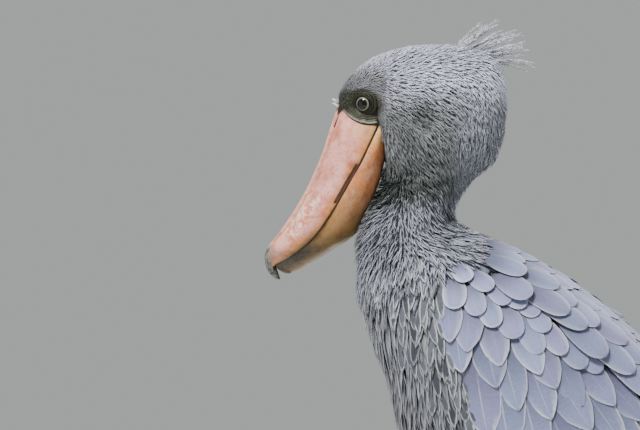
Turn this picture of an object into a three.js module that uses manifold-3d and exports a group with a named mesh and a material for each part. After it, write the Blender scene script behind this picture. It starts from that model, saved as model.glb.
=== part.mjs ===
// A shoebill standing at rest, life size, in millimetres.
// The bird faces -X, its left side faces -Y and +Z is up. It stands on the plane z = 0.
import * as THREE from 'three';
import { LoftGeometry } from 'three/addons/geometries/LoftGeometry.js';
import { mergeVertices } from 'three/addons/utils/BufferGeometryUtils.js';
import Module from 'manifold-3d';

const wasm = await Module();
wasm.setup();

// Driving dimensions
const SEAM = 0.35;
const WING_BED = 15;
const FOOT_SPREAD = 72;
const EYE_RADIUS = 11.5;
const TOE_LENGTHS = { middle: 150, inner: 108, outer: 122, hind: 70 };
const TOE_ANGLES = { middle: 5, inner: -24, outer: 33, hind: 176 };
const CLAW_LENGTH = 24;
const TAIL_LENGTH = 205;
const CENTRE_X = 70;
const LEFT = -1;
const RIGHT = 1;
const SIDES = { left: LEFT, right: RIGHT };

// Outlines seen from the side, as [x, z] pairs with a half width, from the neck's root to the wing tips
const PLUMAGE = [
  { back: [-79, 924], belly: [-206, 880], half: 66 },
  { back: [-30, 900], belly: [-202, 828], half: 96 },
  { back: [32, 870], belly: [-187, 775], half: 120 },
  { back: [84, 832], belly: [-166, 724], half: 134 },
  { back: [130, 795], belly: [-152, 665], half: 141 },
  { back: [175, 748], belly: [-127, 605], half: 143 },
  { back: [218, 698], belly: [-90, 558], half: 141 },
  { back: [258, 648], belly: [-40, 520], half: 134 },
  { back: [296, 600], belly: [25, 497], half: 122 },
  { back: [328, 554], belly: [100, 484], half: 106 },
  { back: [357, 512], belly: [182, 466], half: 88 },
  { back: [385, 470], belly: [258, 440], half: 70 },
  { back: [411, 431], belly: [322, 406], half: 56 },
  { back: [436, 394], belly: [374, 372], half: 44 },
  { back: [459, 360], belly: [418, 342], half: 32 },
];
const NECK = [
  { back: [-60, 880], belly: [-180, 838], half: 74 },
  { back: [-79, 924], belly: [-204, 885], half: 66 },
  { back: [-78, 945], belly: [-200, 915], half: 60 },
  { back: [-62, 970], belly: [-186, 943], half: 57 },
  { back: [-42, 1000], belly: [-165, 975], half: 57 },
  { back: [-40, 1035], belly: [-150, 1010], half: 58 },
];
const HEAD = [
  { back: [-231, 1074], belly: [-231, 1058], half: 10 },
  { back: [-226, 1090], belly: [-226, 1049], half: 30 },
  { back: [-215, 1108], belly: [-215, 1044], half: 41 },
  { back: [-199, 1122], belly: [-199, 1041], half: 49 },
  { back: [-183, 1132], belly: [-183, 1038], half: 54 },
  { back: [-174, 1136], belly: [-174, 1000], half: 58 },
  { back: [-166, 1139], belly: [-166, 972], half: 61 },
  { back: [-150, 1143], belly: [-150, 962], half: 66 },
  { back: [-125, 1147], belly: [-125, 962], half: 71 },
  { back: [-95, 1147], belly: [-95, 968], half: 73 },
  { back: [-65, 1145], belly: [-65, 975], half: 71 },
  { back: [-42, 1140], belly: [-42, 985], half: 64 },
  { back: [-28, 1132], belly: [-28, 1010], half: 52 },
  { back: [-21, 1115], belly: [-21, 1040], half: 34 },
  { back: [-19, 1095], belly: [-19, 1060], half: 14 },
];

// The folded wing's upper and lower edges, as [station, degrees from the back]
const WING_TOP = [[0.9, 64], [1.3, 50], [2, 36], [3, 26], [4, 20], [5, 15], [6, 10], [7, 6], [8, 4], [14, 4]];
const WING_LOW = [[0.9, 70], [1.2, 82], [1.5, 92], [2.8, 106], [4.4, 110], [6, 112], [8, 108], [10, 98], [12, 88], [14, 80]];

// The bill, along its own axis u and upwards v from the corner of the mouth
const MOUTH_CORNER = new THREE.Vector3(-177.5, 0, 1041);
const BILL_SLOPE = THREE.MathUtils.degToRad(66);
const BILL = [
  { u: -22, culmen: 57, mouth: 1, low: -10, upper: 45, lower: 41 },
  { u: 0, culmen: 56.8, mouth: 1.5, low: -15, upper: 47, lower: 44 },
  { u: 26, culmen: 54.5, mouth: 2, low: -22, upper: 49, lower: 46.5 },
  { u: 54, culmen: 51.3, mouth: 3, low: -28, upper: 51.5, lower: 49 },
  { u: 80, culmen: 50.5, mouth: 6, low: -30, upper: 53.5, lower: 50.5 },
  { u: 108, culmen: 51.1, mouth: 8.7, low: -28, upper: 54.5, lower: 51.5 },
  { u: 130, culmen: 53.2, mouth: 12, low: -28, upper: 54, lower: 50.5 },
  { u: 146, culmen: 55.5, mouth: 15, low: -21, upper: 52.5, lower: 48 },
  { u: 162, culmen: 58.5, mouth: 19.5, low: -9.5, upper: 49, lower: 44 },
  { u: 178, culmen: 62.3, mouth: 27, low: 1, upper: 43, lower: 37 },
  { u: 190, culmen: 65, mouth: 34, low: 9.5, upper: 35, lower: 29 },
  { u: 200, culmen: 64.5, mouth: 41, low: 16.5, upper: 24, lower: 20 },
  { u: 208, culmen: 61, mouth: 47, low: 25, upper: 12, lower: 11 },
];
const NAIL = [
  { u: 176, v: 57, half: 5, deep: 3 },
  { u: 190, v: 60, half: 10, deep: 5 },
  { u: 202, v: 58, half: 12.5, deep: 7 },
  { u: 211, v: 53, half: 11, deep: 6.5 },
  { u: 217, v: 46.5, half: 7.5, deep: 5 },
  { u: 221, v: 40, half: 4, deep: 3 },
  { u: 222.5, v: 35.5, half: 1.2, deep: 0.8 },
];

// The tiers of the folded wing, each a row of vanes from its front root to its rear root
const LAST_STATION = 13.9;
const CUTS = [0, 0.14, 0.6, 1];
const LONG_CUTS = [0, 0.1, 0.4, 0.75, 1];
const MIDLINE = 0.075;
const WING_TIERS = [
  { from: [6.6, 95], to: [8.6, 60], count: 4, long: [265, 295], wide: [38, 40], cuts: LONG_CUTS, base: -6, tip: -5, stack: 2.6, flat: true },
  { from: [4.1, 99], to: [7.3, 56], count: 5, long: [155, 205], wide: [54, 58], cuts: LONG_CUTS, base: -4.8, tip: 0, stack: 0.4 },
  { from: [2.6, 97], to: [5.9, 52], count: 5, long: [112, 148], wide: [54, 58], base: -3.8, tip: 2 },
  { from: [1.75, 90], to: [4.6, 52], count: 4, long: [84, 112], wide: [50, 54], base: -3.4, tip: 2.6 },
  { from: [1.3, 78], to: [3.3, 54], count: 3, long: [64, 84], wide: [42, 46], base: -3.2, tip: 3 },
  { from: [5.6, 36], to: [7.2, 17], count: 3, long: [190, 240], wide: [52, 56], cuts: LONG_CUTS, base: -0.4, tip: 3, stack: 0.6 },
  { from: [1.5, 54], to: [4.8, 31], count: 4, long: [88, 124], wide: [46, 52], base: -0.8, tip: 4.4 },
  { from: [1.8, 34], to: [5.4, 14], count: 4, long: [94, 134], wide: [46, 52], base: 1.4, tip: 6 },
];
const BREAST_TIERS = [
  { from: [3.2, 128], to: [3.5, 172], count: 3, long: [92, 92], wide: [28, 28] },
  { from: [2.0, 122], to: [2.3, 172], count: 3, long: [96, 96], wide: [28, 28] },
  { from: [0.8, 114], to: [1.0, 168], count: 3, long: [90, 90], wide: [26, 26] },
];

const radians = THREE.MathUtils.degToRad;
let seed = 7;

// An even draw between 0 and 1 from a fixed sequence
function random() {
  seed = (seed * 16807) % 2147483647;
  return seed / 2147483647;
}
const smooth = THREE.MathUtils.smoothstep;

// A closed geometry as a solid
function solid(geometry) {
  const bare = new THREE.BufferGeometry();
  bare.setAttribute('position', geometry.attributes.position);
  bare.setIndex(geometry.index);
  const merged = mergeVertices(bare, 1e-3);
  const corners = [];
  for (let i = 0; i < merged.index.count; i += 3) {
    const [a, b, c] = [0, 1, 2].map((k) => merged.index.getX(i + k));
    if (a !== b && b !== c && c !== a) corners.push(a, b, c);
  }
  const vertProperties = merged.attributes.position.array;
  return new wasm.Manifold(new wasm.Mesh({ numProp: 3, vertProperties, triVerts: new Uint32Array(corners) }));
}

// Keeps the largest closed surface of a solid, and fills what fusing sealed inside it
function largest(shape) {
  return shape.decompose().reduce((best, piece) => (piece.volume() > best.volume() ? piece : best));
}

function joined(shapes) {
  return shapes.reduce((all, shape) => all.add(shape));
}

function toGeometry(shape) {
  const mesh = largest(shape).getMesh();
  const geometry = new THREE.BufferGeometry();
  geometry.setAttribute('position', new THREE.BufferAttribute(new Float32Array(mesh.vertProperties), 3));
  geometry.setIndex(new THREE.BufferAttribute(new Uint32Array(mesh.triVerts), 1));
  geometry.computeVertexNormals();
  return geometry;
}

function centroid(points) {
  return points.reduce((sum, p) => sum.add(p), new THREE.Vector3()).divideScalar(points.length);
}

function facing(points) {
  const middle = centroid(points);
  return points.reduce((sum, p, i) => {
    const next = points[(i + 1) % points.length];
    return sum.add(p.clone().sub(middle).cross(next.clone().sub(middle)));
  }, new THREE.Vector3());
}

// A solid through closed sections, each turned so that the wall faces outwards
function loft(sections) {
  const k = Math.floor(sections.length / 2);
  const ahead = centroid(sections[k]).sub(centroid(sections[k - 1]));
  const turned = facing(sections[k]).dot(ahead) < 0 ? sections.map((s) => [...s].reverse()) : sections;
  return solid(new LoftGeometry(turned, { capStart: true, capEnd: true }));
}

// A value read off a table of [station, value] pairs
function readOff(table, station) {
  const last = table.length - 1;
  if (station <= table[0][0]) return table[0][1];
  if (station >= table[last][0]) return table[last][1];
  const k = table.findIndex((row) => row[0] > station);
  const [[s0, v0], [s1, v1]] = [table[k - 1], table[k]];
  return THREE.MathUtils.mapLinear(station, s0, s1, v0, v1);
}

// Smooth curves through a list of side-view sections, read at any station
function sectionReader(list) {
  const through = (points) => new THREE.CatmullRomCurve3(points, false, 'catmullrom', 0.5);
  const backs = through(list.map((s) => new THREE.Vector3(s.back[0], 0, s.back[1])));
  const bellies = through(list.map((s) => new THREE.Vector3(s.belly[0], 0, s.belly[1])));
  const halves = through(list.map((s) => new THREE.Vector3(s.half, 0, 0)));
  return (station) => {
    const t = THREE.MathUtils.clamp(station / (list.length - 1), 0, 1);
    return { back: backs.getPoint(t), belly: bellies.getPoint(t), half: halves.getPoint(t).x };
  };
}

// A point on an oval section, at an angle measured from the back
function onSection(section, angle, side, grow = 0, egg = 0) {
  const middle = section.back.clone().add(section.belly).multiplyScalar(0.5);
  const up = section.back.clone().sub(section.belly).multiplyScalar(0.5);
  const reach = up.length() + grow;
  up.normalize().multiplyScalar(reach * Math.cos(angle));
  const wide = (section.half + grow) * Math.sin(angle) * (1 - egg * Math.cos(angle));
  return middle.add(up).add(new THREE.Vector3(0, side * wide, 0));
}

const plumageAt = sectionReader(PLUMAGE);
const neckAt = sectionReader(NECK);
const headAt = sectionReader(HEAD);

// A point on the plumage's outer surface, raised along its normal by lift
function plumage(station, angle, side, lift = 0) {
  const step = 0.02;
  const here = onSection(plumageAt(station), angle, side);
  if (!lift) return here;
  const along = onSection(plumageAt(station + step), angle, side).sub(onSection(plumageAt(station - step), angle, side));
  const round = onSection(plumageAt(station), angle + step, side).sub(onSection(plumageAt(station), angle - step, side));
  const normal = along.cross(round).normalize().multiplyScalar(side * lift);
  return here.add(normal);
}

// How far the torso is sunk below the plumage, so that the folded wing lies in it
function bedDepth(station, angle) {
  const degrees = THREE.MathUtils.radToDeg(Math.abs(angle));
  const top = readOff(WING_TOP, station);
  const low = readOff(WING_LOW, station);
  const across = smooth(degrees, top - 8, top + 2) * (1 - smooth(degrees, low - 2, low + 8));
  return WING_BED * across * smooth(station, 0.7, 1.7);
}

const TORSO_END = 11.5;
const TORSO_SHRINKS_FROM = 10;

function torsoShape(grow) {
  const sections = [];
  const count = 26;
  const end = TORSO_END + grow * 0.02;
  const stations = [...steps(0, TORSO_SHRINKS_FROM, 14), 10.6, 11.1, end - 0.03];
  for (const station of stations) {
    const late = Math.max(0, (station - TORSO_SHRINKS_FROM) / (end - TORSO_SHRINKS_FROM));
    const shrink = Math.sqrt(1 - late * late);
    const section = plumageAt(station);
    const middle = section.back.clone().add(section.belly).multiplyScalar(0.5);
    const ring = [];
    for (let j = 0; j < count; j += 1) {
      const angle = (j / count) * Math.PI * 2;
      const side = Math.sin(angle) < 0 ? -1 : 1;
      const fromBack = Math.acos(Math.cos(angle));
      const point = plumage(station, fromBack, side, grow - bedDepth(station, fromBack) - 1e-6);
      ring.push(point.sub(middle).multiplyScalar(shrink).add(middle));
    }
    sections.push(ring);
  }
  return loft(sections);
}

function ovalLoft(reader, stations, count, grow, egg) {
  return loft(stations.map((station) => {
    const section = reader(station);
    return Array.from({ length: count }, (_, j) => onSection(section, (j / count) * Math.PI * 2, 1, grow, egg));
  }));
}

function steps(from, to, count) {
  return Array.from({ length: count + 1 }, (_, i) => from + ((to - from) * i) / count);
}

// A tapered round limb through points [x, y, z, radius]
function limb(points, sides, grow = 0, rings = 2 * points.length) {
  const curve = new THREE.CatmullRomCurve3(points.map((p) => new THREE.Vector3(p[0], p[1], p[2])), false, 'catmullrom', 0.5);
  const radii = new THREE.CatmullRomCurve3(points.map((p) => new THREE.Vector3(p[3], 0, 0)), false, 'catmullrom', 0.5);
  const sections = steps(0, 1, rings).map((t) => {
    const centre = curve.getPoint(t);
    const ahead = curve.getTangent(t);
    const across = new THREE.Vector3(0, 1, 0).cross(ahead).normalize();
    if (across.lengthSq() < 0.5) across.set(1, 0, 0);
    const other = ahead.clone().cross(across).normalize();
    const radius = radii.getPoint(t).x + grow;
    return Array.from({ length: sides }, (_, j) => {
      const angle = (j / sides) * Math.PI * 2;
      return centre.clone()
        .addScaledVector(across, radius * Math.cos(angle))
        .addScaledVector(other, radius * Math.sin(angle));
    });
  });
  return loft(sections);
}

// How wide a vane is from its root to its tip, as a share of its full width
const LEAF = [[0, 0.4], [0.22, 0.82], [0.5, 1], [0.78, 0.86], [0.92, 0.55], [1, 0.12]];
const LANCE = [[0, 0.5], [0.3, 1], [0.6, 0.72], [0.85, 0.36], [1, 0.06]];
const VANE_THICK = 0.9;
const QUILL_THICK = 1.5;

// A thin closed sheet over rows of points and normals, split into triangles alike on both faces
function sheet(rows) {
  const wide = rows[0].length;
  const upper = rows.flat();
  const corners = [];
  const quad = (a, b, c, d) => corners.push(a, b, c, a, c, d);
  const low = upper.length;
  for (let i = 0; i < rows.length - 1; i += 1) {
    for (let j = 0; j < wide - 1; j += 1) {
      const a = i * wide + j;
      quad(a, a + 1, a + wide + 1, a + wide);
      corners.push(low + a, low + a + wide + 1, low + a + 1, low + a, low + a + wide, low + a + wide + 1);
    }
    const right = i * wide + wide - 1;
    quad(i * wide, (i + 1) * wide, low + (i + 1) * wide, low + i * wide);
    quad(right, low + right, low + right + wide, right + wide);
  }
  for (let j = 0; j < wide - 1; j += 1) {
    const end = (rows.length - 1) * wide + j;
    quad(j, low + j, low + j + 1, j + 1);
    quad(end, end + 1, low + end + 1, low + end);
  }
  const points = [...upper.map((v) => v.point.clone().addScaledVector(v.normal, v.thick)), ...upper.map((v) => v.point)];
  const volume = corners.reduce((sum, c, k) => {
    if (k % 3) return sum;
    return sum + points[c].dot(points[corners[k + 1]].clone().cross(points[corners[k + 2]]));
  }, 0);
  const geometry = new THREE.BufferGeometry().setFromPoints(points);
  geometry.setIndex(volume > 0 ? corners : corners.reverse());
  return solid(geometry);
}

// Where a step along a heading leads on the plumage, in its own station and angle
function stepOn(place, side, heading, distance) {
  const e = 0.01;
  const at = (ds, da) => onSection(plumageAt(place.station + ds), place.angle + da, side);
  const alongStation = at(e, 0).sub(at(-e, 0)).divideScalar(2 * e);
  const alongAngle = at(0, e).sub(at(0, -e)).divideScalar(2 * e);
  const [ss, aa, sa] = [alongStation.lengthSq(), alongAngle.lengthSq(), alongStation.dot(alongAngle)];
  const [hs, ha] = [heading.dot(alongStation), heading.dot(alongAngle)];
  const det = ss * aa - sa * sa;
  const move = { station: (hs * aa - ha * sa) / det, angle: (ha * ss - hs * sa) / det };
  const travelled = alongStation.multiplyScalar(move.station).addScaledVector(alongAngle, move.angle).length();
  return {
    station: Math.min(LAST_STATION, place.station + (move.station * distance) / travelled),
    angle: Math.max(MIDLINE, place.angle + (move.angle * distance) / travelled),
  };
}

function normalAt(place, side) {
  return plumage(place.station, place.angle, side, 1).sub(onSection(plumageAt(place.station), place.angle, side));
}

// The way that the feathers lie: steeply down the breast, flatter over the back, together at the wing's tip
function lie(place, side) {
  const degrees = THREE.MathUtils.radToDeg(place.angle);
  const slope = radians(THREE.MathUtils.lerp(28, 78, smooth(degrees, 12, 100)));
  const front = new THREE.Vector3(Math.cos(slope), 0, -Math.sin(slope));
  const e = 0.05;
  const ahead = onSection(plumageAt(place.station + e), place.angle, side)
    .sub(onSection(plumageAt(place.station - e), place.angle, side)).normalize();
  return front.lerp(ahead, smooth(place.station, 2.5, 9.5)).normalize();
}

// A vane that lies on the plumage from its root along the lie, its tip raised over the next row
function bodyVane(side, spec) {
  const { root, long, wide, base, tip, sunk = -12, outline = LEAF, cuts = CUTS, roll = 0.05, edges = [-1, 0, 1] } = spec;
  const heights = [[0, sunk], [cuts[1], base], [1, tip]];
  const rows = [];
  let place = { station: root[0], angle: radians(root[1]) };
  const hops = 3;
  for (const [i, f] of cuts.entries()) {
    const half = (wide / 2) * readOff(outline, f);
    const forward = lie(place, side);
    const across = normalAt(place, side).cross(forward).normalize();
    const lift = readOff(heights, f);
    const row = edges.map((edge) => {
      const spot = edge ? stepOn(place, side, across.clone().multiplyScalar(edge), half) : place;
      const normal = normalAt(spot, side);
      const height = lift - edge * half * roll * side + (edge ? 0 : 0.8);
      const point = onSection(plumageAt(spot.station), spot.angle, side).addScaledVector(normal, height);
      return { point, normal, thick: edge ? VANE_THICK : QUILL_THICK };
    });
    rows.push(row);
    const reach = i < cuts.length - 1 ? (cuts[i + 1] - f) * long : 0;
    for (let k = 0; k < hops && reach; k += 1) place = stepOn(place, side, lie(place, side), reach / hops);
  }
  return sheet(rows);
}

// A row of vanes whose roots, lengths and widths change evenly from its first to its last
function vaneRow({ from, to, count, long, wide, tip, stack = 0, flat = false, ...rest }, side) {
  return steps(0, 1, count - 1).map((f, index) => bodyVane(side, {
    root: [0, 1].map((k) => THREE.MathUtils.lerp(from[k], to[k], f)),
    long: THREE.MathUtils.lerp(long[0], long[1], f) * (1 + 0.06 * (random() - 0.5)),
    wide: THREE.MathUtils.lerp(wide[0], wide[1], f),
    tip: tip + index * stack,
    ...(flat ? { roll: 0, edges: [-1, 1] } : {}),
    ...rest,
  }));
}

function ellipsoid(centre, radii, turn = new THREE.Euler()) {
  const geometry = new THREE.SphereGeometry(1, 12, 8);
  const matrix = new THREE.Matrix4().compose(centre, new THREE.Quaternion().setFromEuler(turn), radii);
  return solid(geometry.applyMatrix4(matrix));
}

// A slab that parts the body along a sloping plane, seen from the side as a line
function partingSlab(from, to, thick) {
  const line = new THREE.Vector3(to[0] - from[0], 0, to[1] - from[1]);
  const slab = new THREE.BoxGeometry(600, 600, thick);
  slab.rotateY(-Math.atan2(line.z, line.x));
  slab.translate((from[0] + to[0]) / 2, 0, (from[1] + to[1]) / 2);
  return solid(slab);
}

// The body in one piece, grown by a small amount where a neighbour is to be cut clear of it
function wholeBody(grow) {
  return joined([
    torsoShape(grow),
    ovalLoft(neckAt, steps(0, NECK.length - 1, 6), 18, grow, 0),
    ovalLoft(headAt, steps(0, HEAD.length - 1, 18), 20, grow, 0.1),
    brow(LEFT, grow),
    brow(RIGHT, grow),
  ]);
}

// Points of the bill, from its own axes to the bird's
const billAxis = new THREE.Vector3(-Math.cos(BILL_SLOPE), 0, -Math.sin(BILL_SLOPE));
const billUp = new THREE.Vector3(-Math.sin(BILL_SLOPE), 0, Math.cos(BILL_SLOPE));

function billPoint(u, y, v) {
  return MOUTH_CORNER.clone().addScaledVector(billAxis, u).addScaledVector(billUp, v).add(new THREE.Vector3(0, y, 0));
}

const GROOVE_DEPTH = 2.4;

// Half of the upper bill's section: keel, groove beside it, swollen side and cutting edge
function upperHalfSection(s) {
  const taper = Math.min(1, s.upper / 45);
  const keel = 8 * taper;
  const rise = (s.culmen - s.mouth) * 0.1;
  const shoulder = s.culmen - rise;
  const points = [[0, s.culmen], [keel * 0.7, s.culmen - 0.6 * taper], [keel, shoulder], [keel + 2 * taper, shoulder - GROOVE_DEPTH * taper]];
  const from = keel + 4.5 * taper;
  for (const degrees of [8, 28, 50, 72, 90]) {
    const a = radians(degrees);
    points.push([
      from + (s.upper - from) * Math.sin(a) ** 0.9,
      s.mouth + 5 * taper + (shoulder - s.mouth - 5 * taper) * Math.cos(a) ** 0.8,
    ]);
  }
  points.push([s.upper - 1.5 * taper, s.mouth + SEAM]);
  return points;
}

function lowerHalfSection(s) {
  const top = s.mouth - SEAM;
  const points = [[0, s.low]];
  for (const degrees of [18, 36, 54, 72]) {
    const a = radians(degrees);
    points.push([s.lower * Math.sin(a) ** 0.85, top - 4 - (top - 4 - s.low) * Math.cos(a) ** 0.9]);
  }
  points.push([s.lower, top - 3], [s.lower - 0.8, top]);
  return points;
}

function mirrored(half) {
  const other = half.filter((p) => p[0] > 0).map(([y, v]) => [-y, v]).reverse();
  return [...half, ...other];
}

const billReader = (key) => {
  const curve = new THREE.CatmullRomCurve3(BILL.map((s) => new THREE.Vector3(s[key], 0, 0)), false, 'catmullrom', 0.5);
  return (t) => curve.getPoint(t).x;
};
const billKeys = ['u', 'culmen', 'mouth', 'low', 'upper', 'lower'];
const billReaders = Object.fromEntries(billKeys.map((key) => [key, billReader(key)]));

function billLoft(halfSection) {
  const sections = steps(0, 1, BILL.length + 3).map((t) => {
    const s = Object.fromEntries(billKeys.map((key) => [key, billReaders[key](t)]));
    return mirrored(halfSection(s)).map(([y, v]) => billPoint(s.u, y, v));
  });
  return loft(sections);
}

function nailShape() {
  const sections = NAIL.map((s, i) => {
    const before = NAIL[Math.max(0, i - 1)];
    const after = NAIL[Math.min(NAIL.length - 1, i + 1)];
    const along = billPoint(after.u, 0, after.v).sub(billPoint(before.u, 0, before.v)).normalize();
    const out = new THREE.Vector3(0, 1, 0).cross(along).normalize();
    return steps(0, 7, 7).map((j) => {
      const a = (j / 8) * Math.PI * 2;
      return billPoint(s.u, s.half * Math.sin(a), s.v).addScaledVector(out, s.deep * Math.cos(a));
    });
  });
  return loft(sections);
}

const NOSTRIL = { u: 12, y: 10, v: 50, long: 24, wide: 2.2, deep: 9 };

function nostril(side) {
  const slot = new THREE.BoxGeometry(NOSTRIL.long, NOSTRIL.wide, NOSTRIL.deep);
  slot.rotateY(BILL_SLOPE);
  const place = billPoint(NOSTRIL.u, side * NOSTRIL.y, NOSTRIL.v);
  return solid(slot.translate(place.x, place.y, place.z));
}

function upperBillShape() {
  const horn = joined([billLoft(upperHalfSection), nailShape()]);
  return horn.subtract(nostril(LEFT)).subtract(nostril(RIGHT));
}

// The eyes, each in a socket ringed by its lids
const EYE_X = -194;
const EYE_Y = 40;
const EYE_Z = 1070.5;

function eyeCentre(side) {
  return new THREE.Vector3(EYE_X, side * EYE_Y, EYE_Z);
}

function eyeLook(side) {
  return new THREE.Vector3(-0.42, side * 0.9, -0.08).normalize();
}

function ball(centre, radius, sides = 14) {
  return solid(new THREE.SphereGeometry(radius, sides, sides / 2 + 2).translate(centre.x, centre.y, centre.z));
}

function lids(side, grow = 0) {
  const ring = new THREE.TorusGeometry(9.4, 2.6 + grow, 5, 14);
  ring.scale(1, 0.92, 1);
  const turn = new THREE.Quaternion().setFromUnitVectors(new THREE.Vector3(0, 0, 1), eyeLook(side));
  ring.applyQuaternion(turn);
  const place = eyeCentre(side).addScaledVector(eyeLook(side), 7);
  return solid(ring.translate(place.x, place.y, place.z));
}

function socketRecess(side) {
  const place = eyeCentre(side).addScaledVector(eyeLook(side), 13.5);
  return ellipsoid(place, new THREE.Vector3(20, 7, 14), new THREE.Euler(0, 0, side * radians(25)));
}

function brow(side, grow) {
  return ellipsoid(
    new THREE.Vector3(-197, side * 41, 1091),
    new THREE.Vector3(30 + grow, 11 + grow, 8 + grow),
    new THREE.Euler(0, radians(-12), side * radians(22)),
  );
}

// The folded wing as one smooth form between its edges
const WING_START = 0.9;
const WING_END = 12.6;
const WING_CORE_LIFT = -7;

function wingDepth(station) {
  return THREE.MathUtils.lerp(WING_BED + 4, 8, smooth(station, 9.5, 12.5));
}

function wingCore(side, lift, end) {
  const across = steps(0, 1, 5);
  const sections = steps(WING_START, end, 12).map((station) => {
    const top = radians(readOff(WING_TOP, station));
    const low = radians(readOff(WING_LOW, station));
    const angles = across.map((f) => top + (low - top) * f);
    const outer = angles.map((angle) => plumage(station, angle, side, lift));
    const inner = angles.map((angle) => plumage(station, angle, side, -wingDepth(station))).reverse();
    return [...outer, ...inner];
  });
  return loft(sections);
}

const BREAST_LIFT = { outline: LANCE, sunk: -6, base: 1, tip: 6, roll: 0, edges: [-1, 1] };

function wingShape(side) {
  seed = 11;
  const tiers = WING_TIERS.flatMap((tier) => vaneRow(tier, side));
  return joined([wingCore(side, WING_CORE_LIFT, WING_END), ...tiers]);
}

function breastVanes() {
  return [LEFT, RIGHT].flatMap((side) => {
    seed = 5;
    return BREAST_TIERS.flatMap((tier) => vaneRow({ ...tier, ...BREAST_LIFT }, side));
  });
}

// The tail, a short fan set below the wing tips
const TAIL_ROOT = new THREE.Vector3(337, 0, 448);
const TAIL_SLOPE = radians(56);
const tailAxis = new THREE.Vector3(Math.cos(TAIL_SLOPE), 0, -Math.sin(TAIL_SLOPE));
const tailUp = new THREE.Vector3(Math.sin(TAIL_SLOPE), 0, Math.cos(TAIL_SLOPE));

function tailPoint(along, across, up) {
  return TAIL_ROOT.clone().addScaledVector(tailAxis, along).addScaledVector(tailUp, up).add(new THREE.Vector3(0, across, 0));
}

function tailCore(stations) {
  return loft(stations.map(({ along, half, thick }) => steps(0, 13, 13).map((j) => {
    const a = (j / 14) * Math.PI * 2;
    return tailPoint(along, half * Math.cos(a), thick * Math.sin(a) - 6);
  })));
}

const TAIL_BASE = [
  { along: -60, half: 40, thick: 26 },
  { along: -20, half: 43, thick: 23 },
  { along: 20, half: 42, thick: 15 },
  { along: 60, half: 38, thick: 8 },
  { along: 90, half: 28, thick: 3 },
];
const TAIL_VANES = 10;
const TAIL_VANE_WIDTH = 38;
const TAIL_SPREAD = 9;

// One tail vane, the middle ones lying over the outer ones
function tailVane(index) {
  const f = (index - (TAIL_VANES - 1) / 2) / ((TAIL_VANES - 1) / 2);
  const turn = radians(TAIL_SPREAD * f);
  const long = TAIL_LENGTH * (1 - 0.05 * f * f);
  const rank = (Math.abs(f) * (TAIL_VANES - 1) + (f > 0 ? 1 : 0)) / TAIL_VANES;
  const normal = tailUp.clone().applyAxisAngle(tailAxis, radians(5) * Math.sign(f)).normalize();
  const rows = steps(0, 1, 3).map((g) => {
    const half = (TAIL_VANE_WIDTH / 2) * readOff(LEAF, g * 0.9 + 0.04);
    const along = -10 + (long + 10) * g;
    return [-1, 1].map((edge) => {
      const across = f * 27 + Math.sin(turn) * along + edge * half;
      const up = -4 - rank * 7 * (1 - 0.35 * g) - edge * half * Math.tan(radians(4)) * Math.sign(f);
      return { point: tailPoint(along * Math.cos(turn), across, up), normal, thick: VANE_THICK };
    });
  });
  return sheet(rows);
}

// The crest, a loose tuft on the nape
const CREST_ROOT = new THREE.Vector3(-52, 0, 1138);

// Each plume: where it leaves the nape, how it leans back and sideways, how long it is
const CREST_PLUMES = 15;

function crestPlume(index) {
  const f = index / (CREST_PLUMES - 1);
  const spread = Math.sin(index * 2.4);
  const root = CREST_ROOT.clone().add(new THREE.Vector3(-30 + 44 * f, 13 * spread, 1 - 12 * f * f));
  const lean = radians(52 - 46 * f + 8 * (random() - 0.5));
  const ahead = new THREE.Vector3(Math.cos(lean), 0.3 * spread, Math.sin(lean)).normalize();
  const across = new THREE.Vector3(0, 1, 0).applyAxisAngle(ahead, radians(35 * spread)).cross(ahead).cross(ahead).normalize();
  const normal = ahead.clone().cross(across).normalize();
  const long = 38 + 22 * Math.sin(Math.PI * (0.25 + 0.6 * f)) * (0.8 + 0.4 * random());
  const rows = steps(0, 1, 3).map((g) => {
    const half = 4.6 * readOff(LANCE, g);
    const bend = -9 * g * g;
    const spine = root.clone().addScaledVector(ahead, -9 + (long + 9) * g).add(new THREE.Vector3(0, 0, bend));
    return [-1, 1].map((edge) => ({ point: spine.clone().addScaledVector(across, edge * half), normal, thick: 1 }));
  });
  return sheet(rows);
}

function crestShape() {
  seed = 3;
  const pad = ellipsoid(
    CREST_ROOT.clone().add(new THREE.Vector3(-4, 0, 4)),
    new THREE.Vector3(32, 18, 7),
    new THREE.Euler(0, radians(16), 0),
  );
  return joined([pad, ...steps(0, CREST_PLUMES - 1, CREST_PLUMES - 1).map(crestPlume)]);
}

// The legs: a feathered thigh, then bare shin, ankle, shank and foot
function thighShape(side, grow = 0) {
  const out = (y) => side * y;
  return limb([
    [-8, out(56), 590, 44],
    [2, out(58), 545, 47],
    [14, out(61), 480, 41],
    [24, out(64), 420, 33],
    [31, out(66), 372, 25],
    [34, out(67), 344, 17],
  ], 14, grow, 7);
}

function shankShape(side, grow = 0) {
  const knee = side * 67;
  const foot = side * FOOT_SPREAD;
  return limb([
    [32, knee, 356, 10.5],
    [38, knee, 315, 10.5],
    [42, knee, 283, 12.5],
    [44, knee, 262, 16.5],
    [41, knee, 240, 13.5],
    [36, knee, 205, 10],
    [26, side * 69, 140, 9.5],
    [16, side * 71, 75, 10.5],
    [10, foot, 36, 14],
    [8, foot, 16, 16],
    [8, foot, -4, 14],
  ], 8, grow, 16);
}

const GROUND = solid(new THREE.BoxGeometry(1600, 1600, 200).translate(0, 0, -100));
const HUB_X = 8;

// Points of a toe, from the foot's hub outwards, level with the ground
function toePath(side, name) {
  const turn = radians(TOE_ANGLES[name]);
  const ahead = new THREE.Vector3(-Math.cos(turn), side * Math.sin(turn), 0);
  return { ahead, hub: new THREE.Vector3(HUB_X, side * FOOT_SPREAD, 0) };
}

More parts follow.
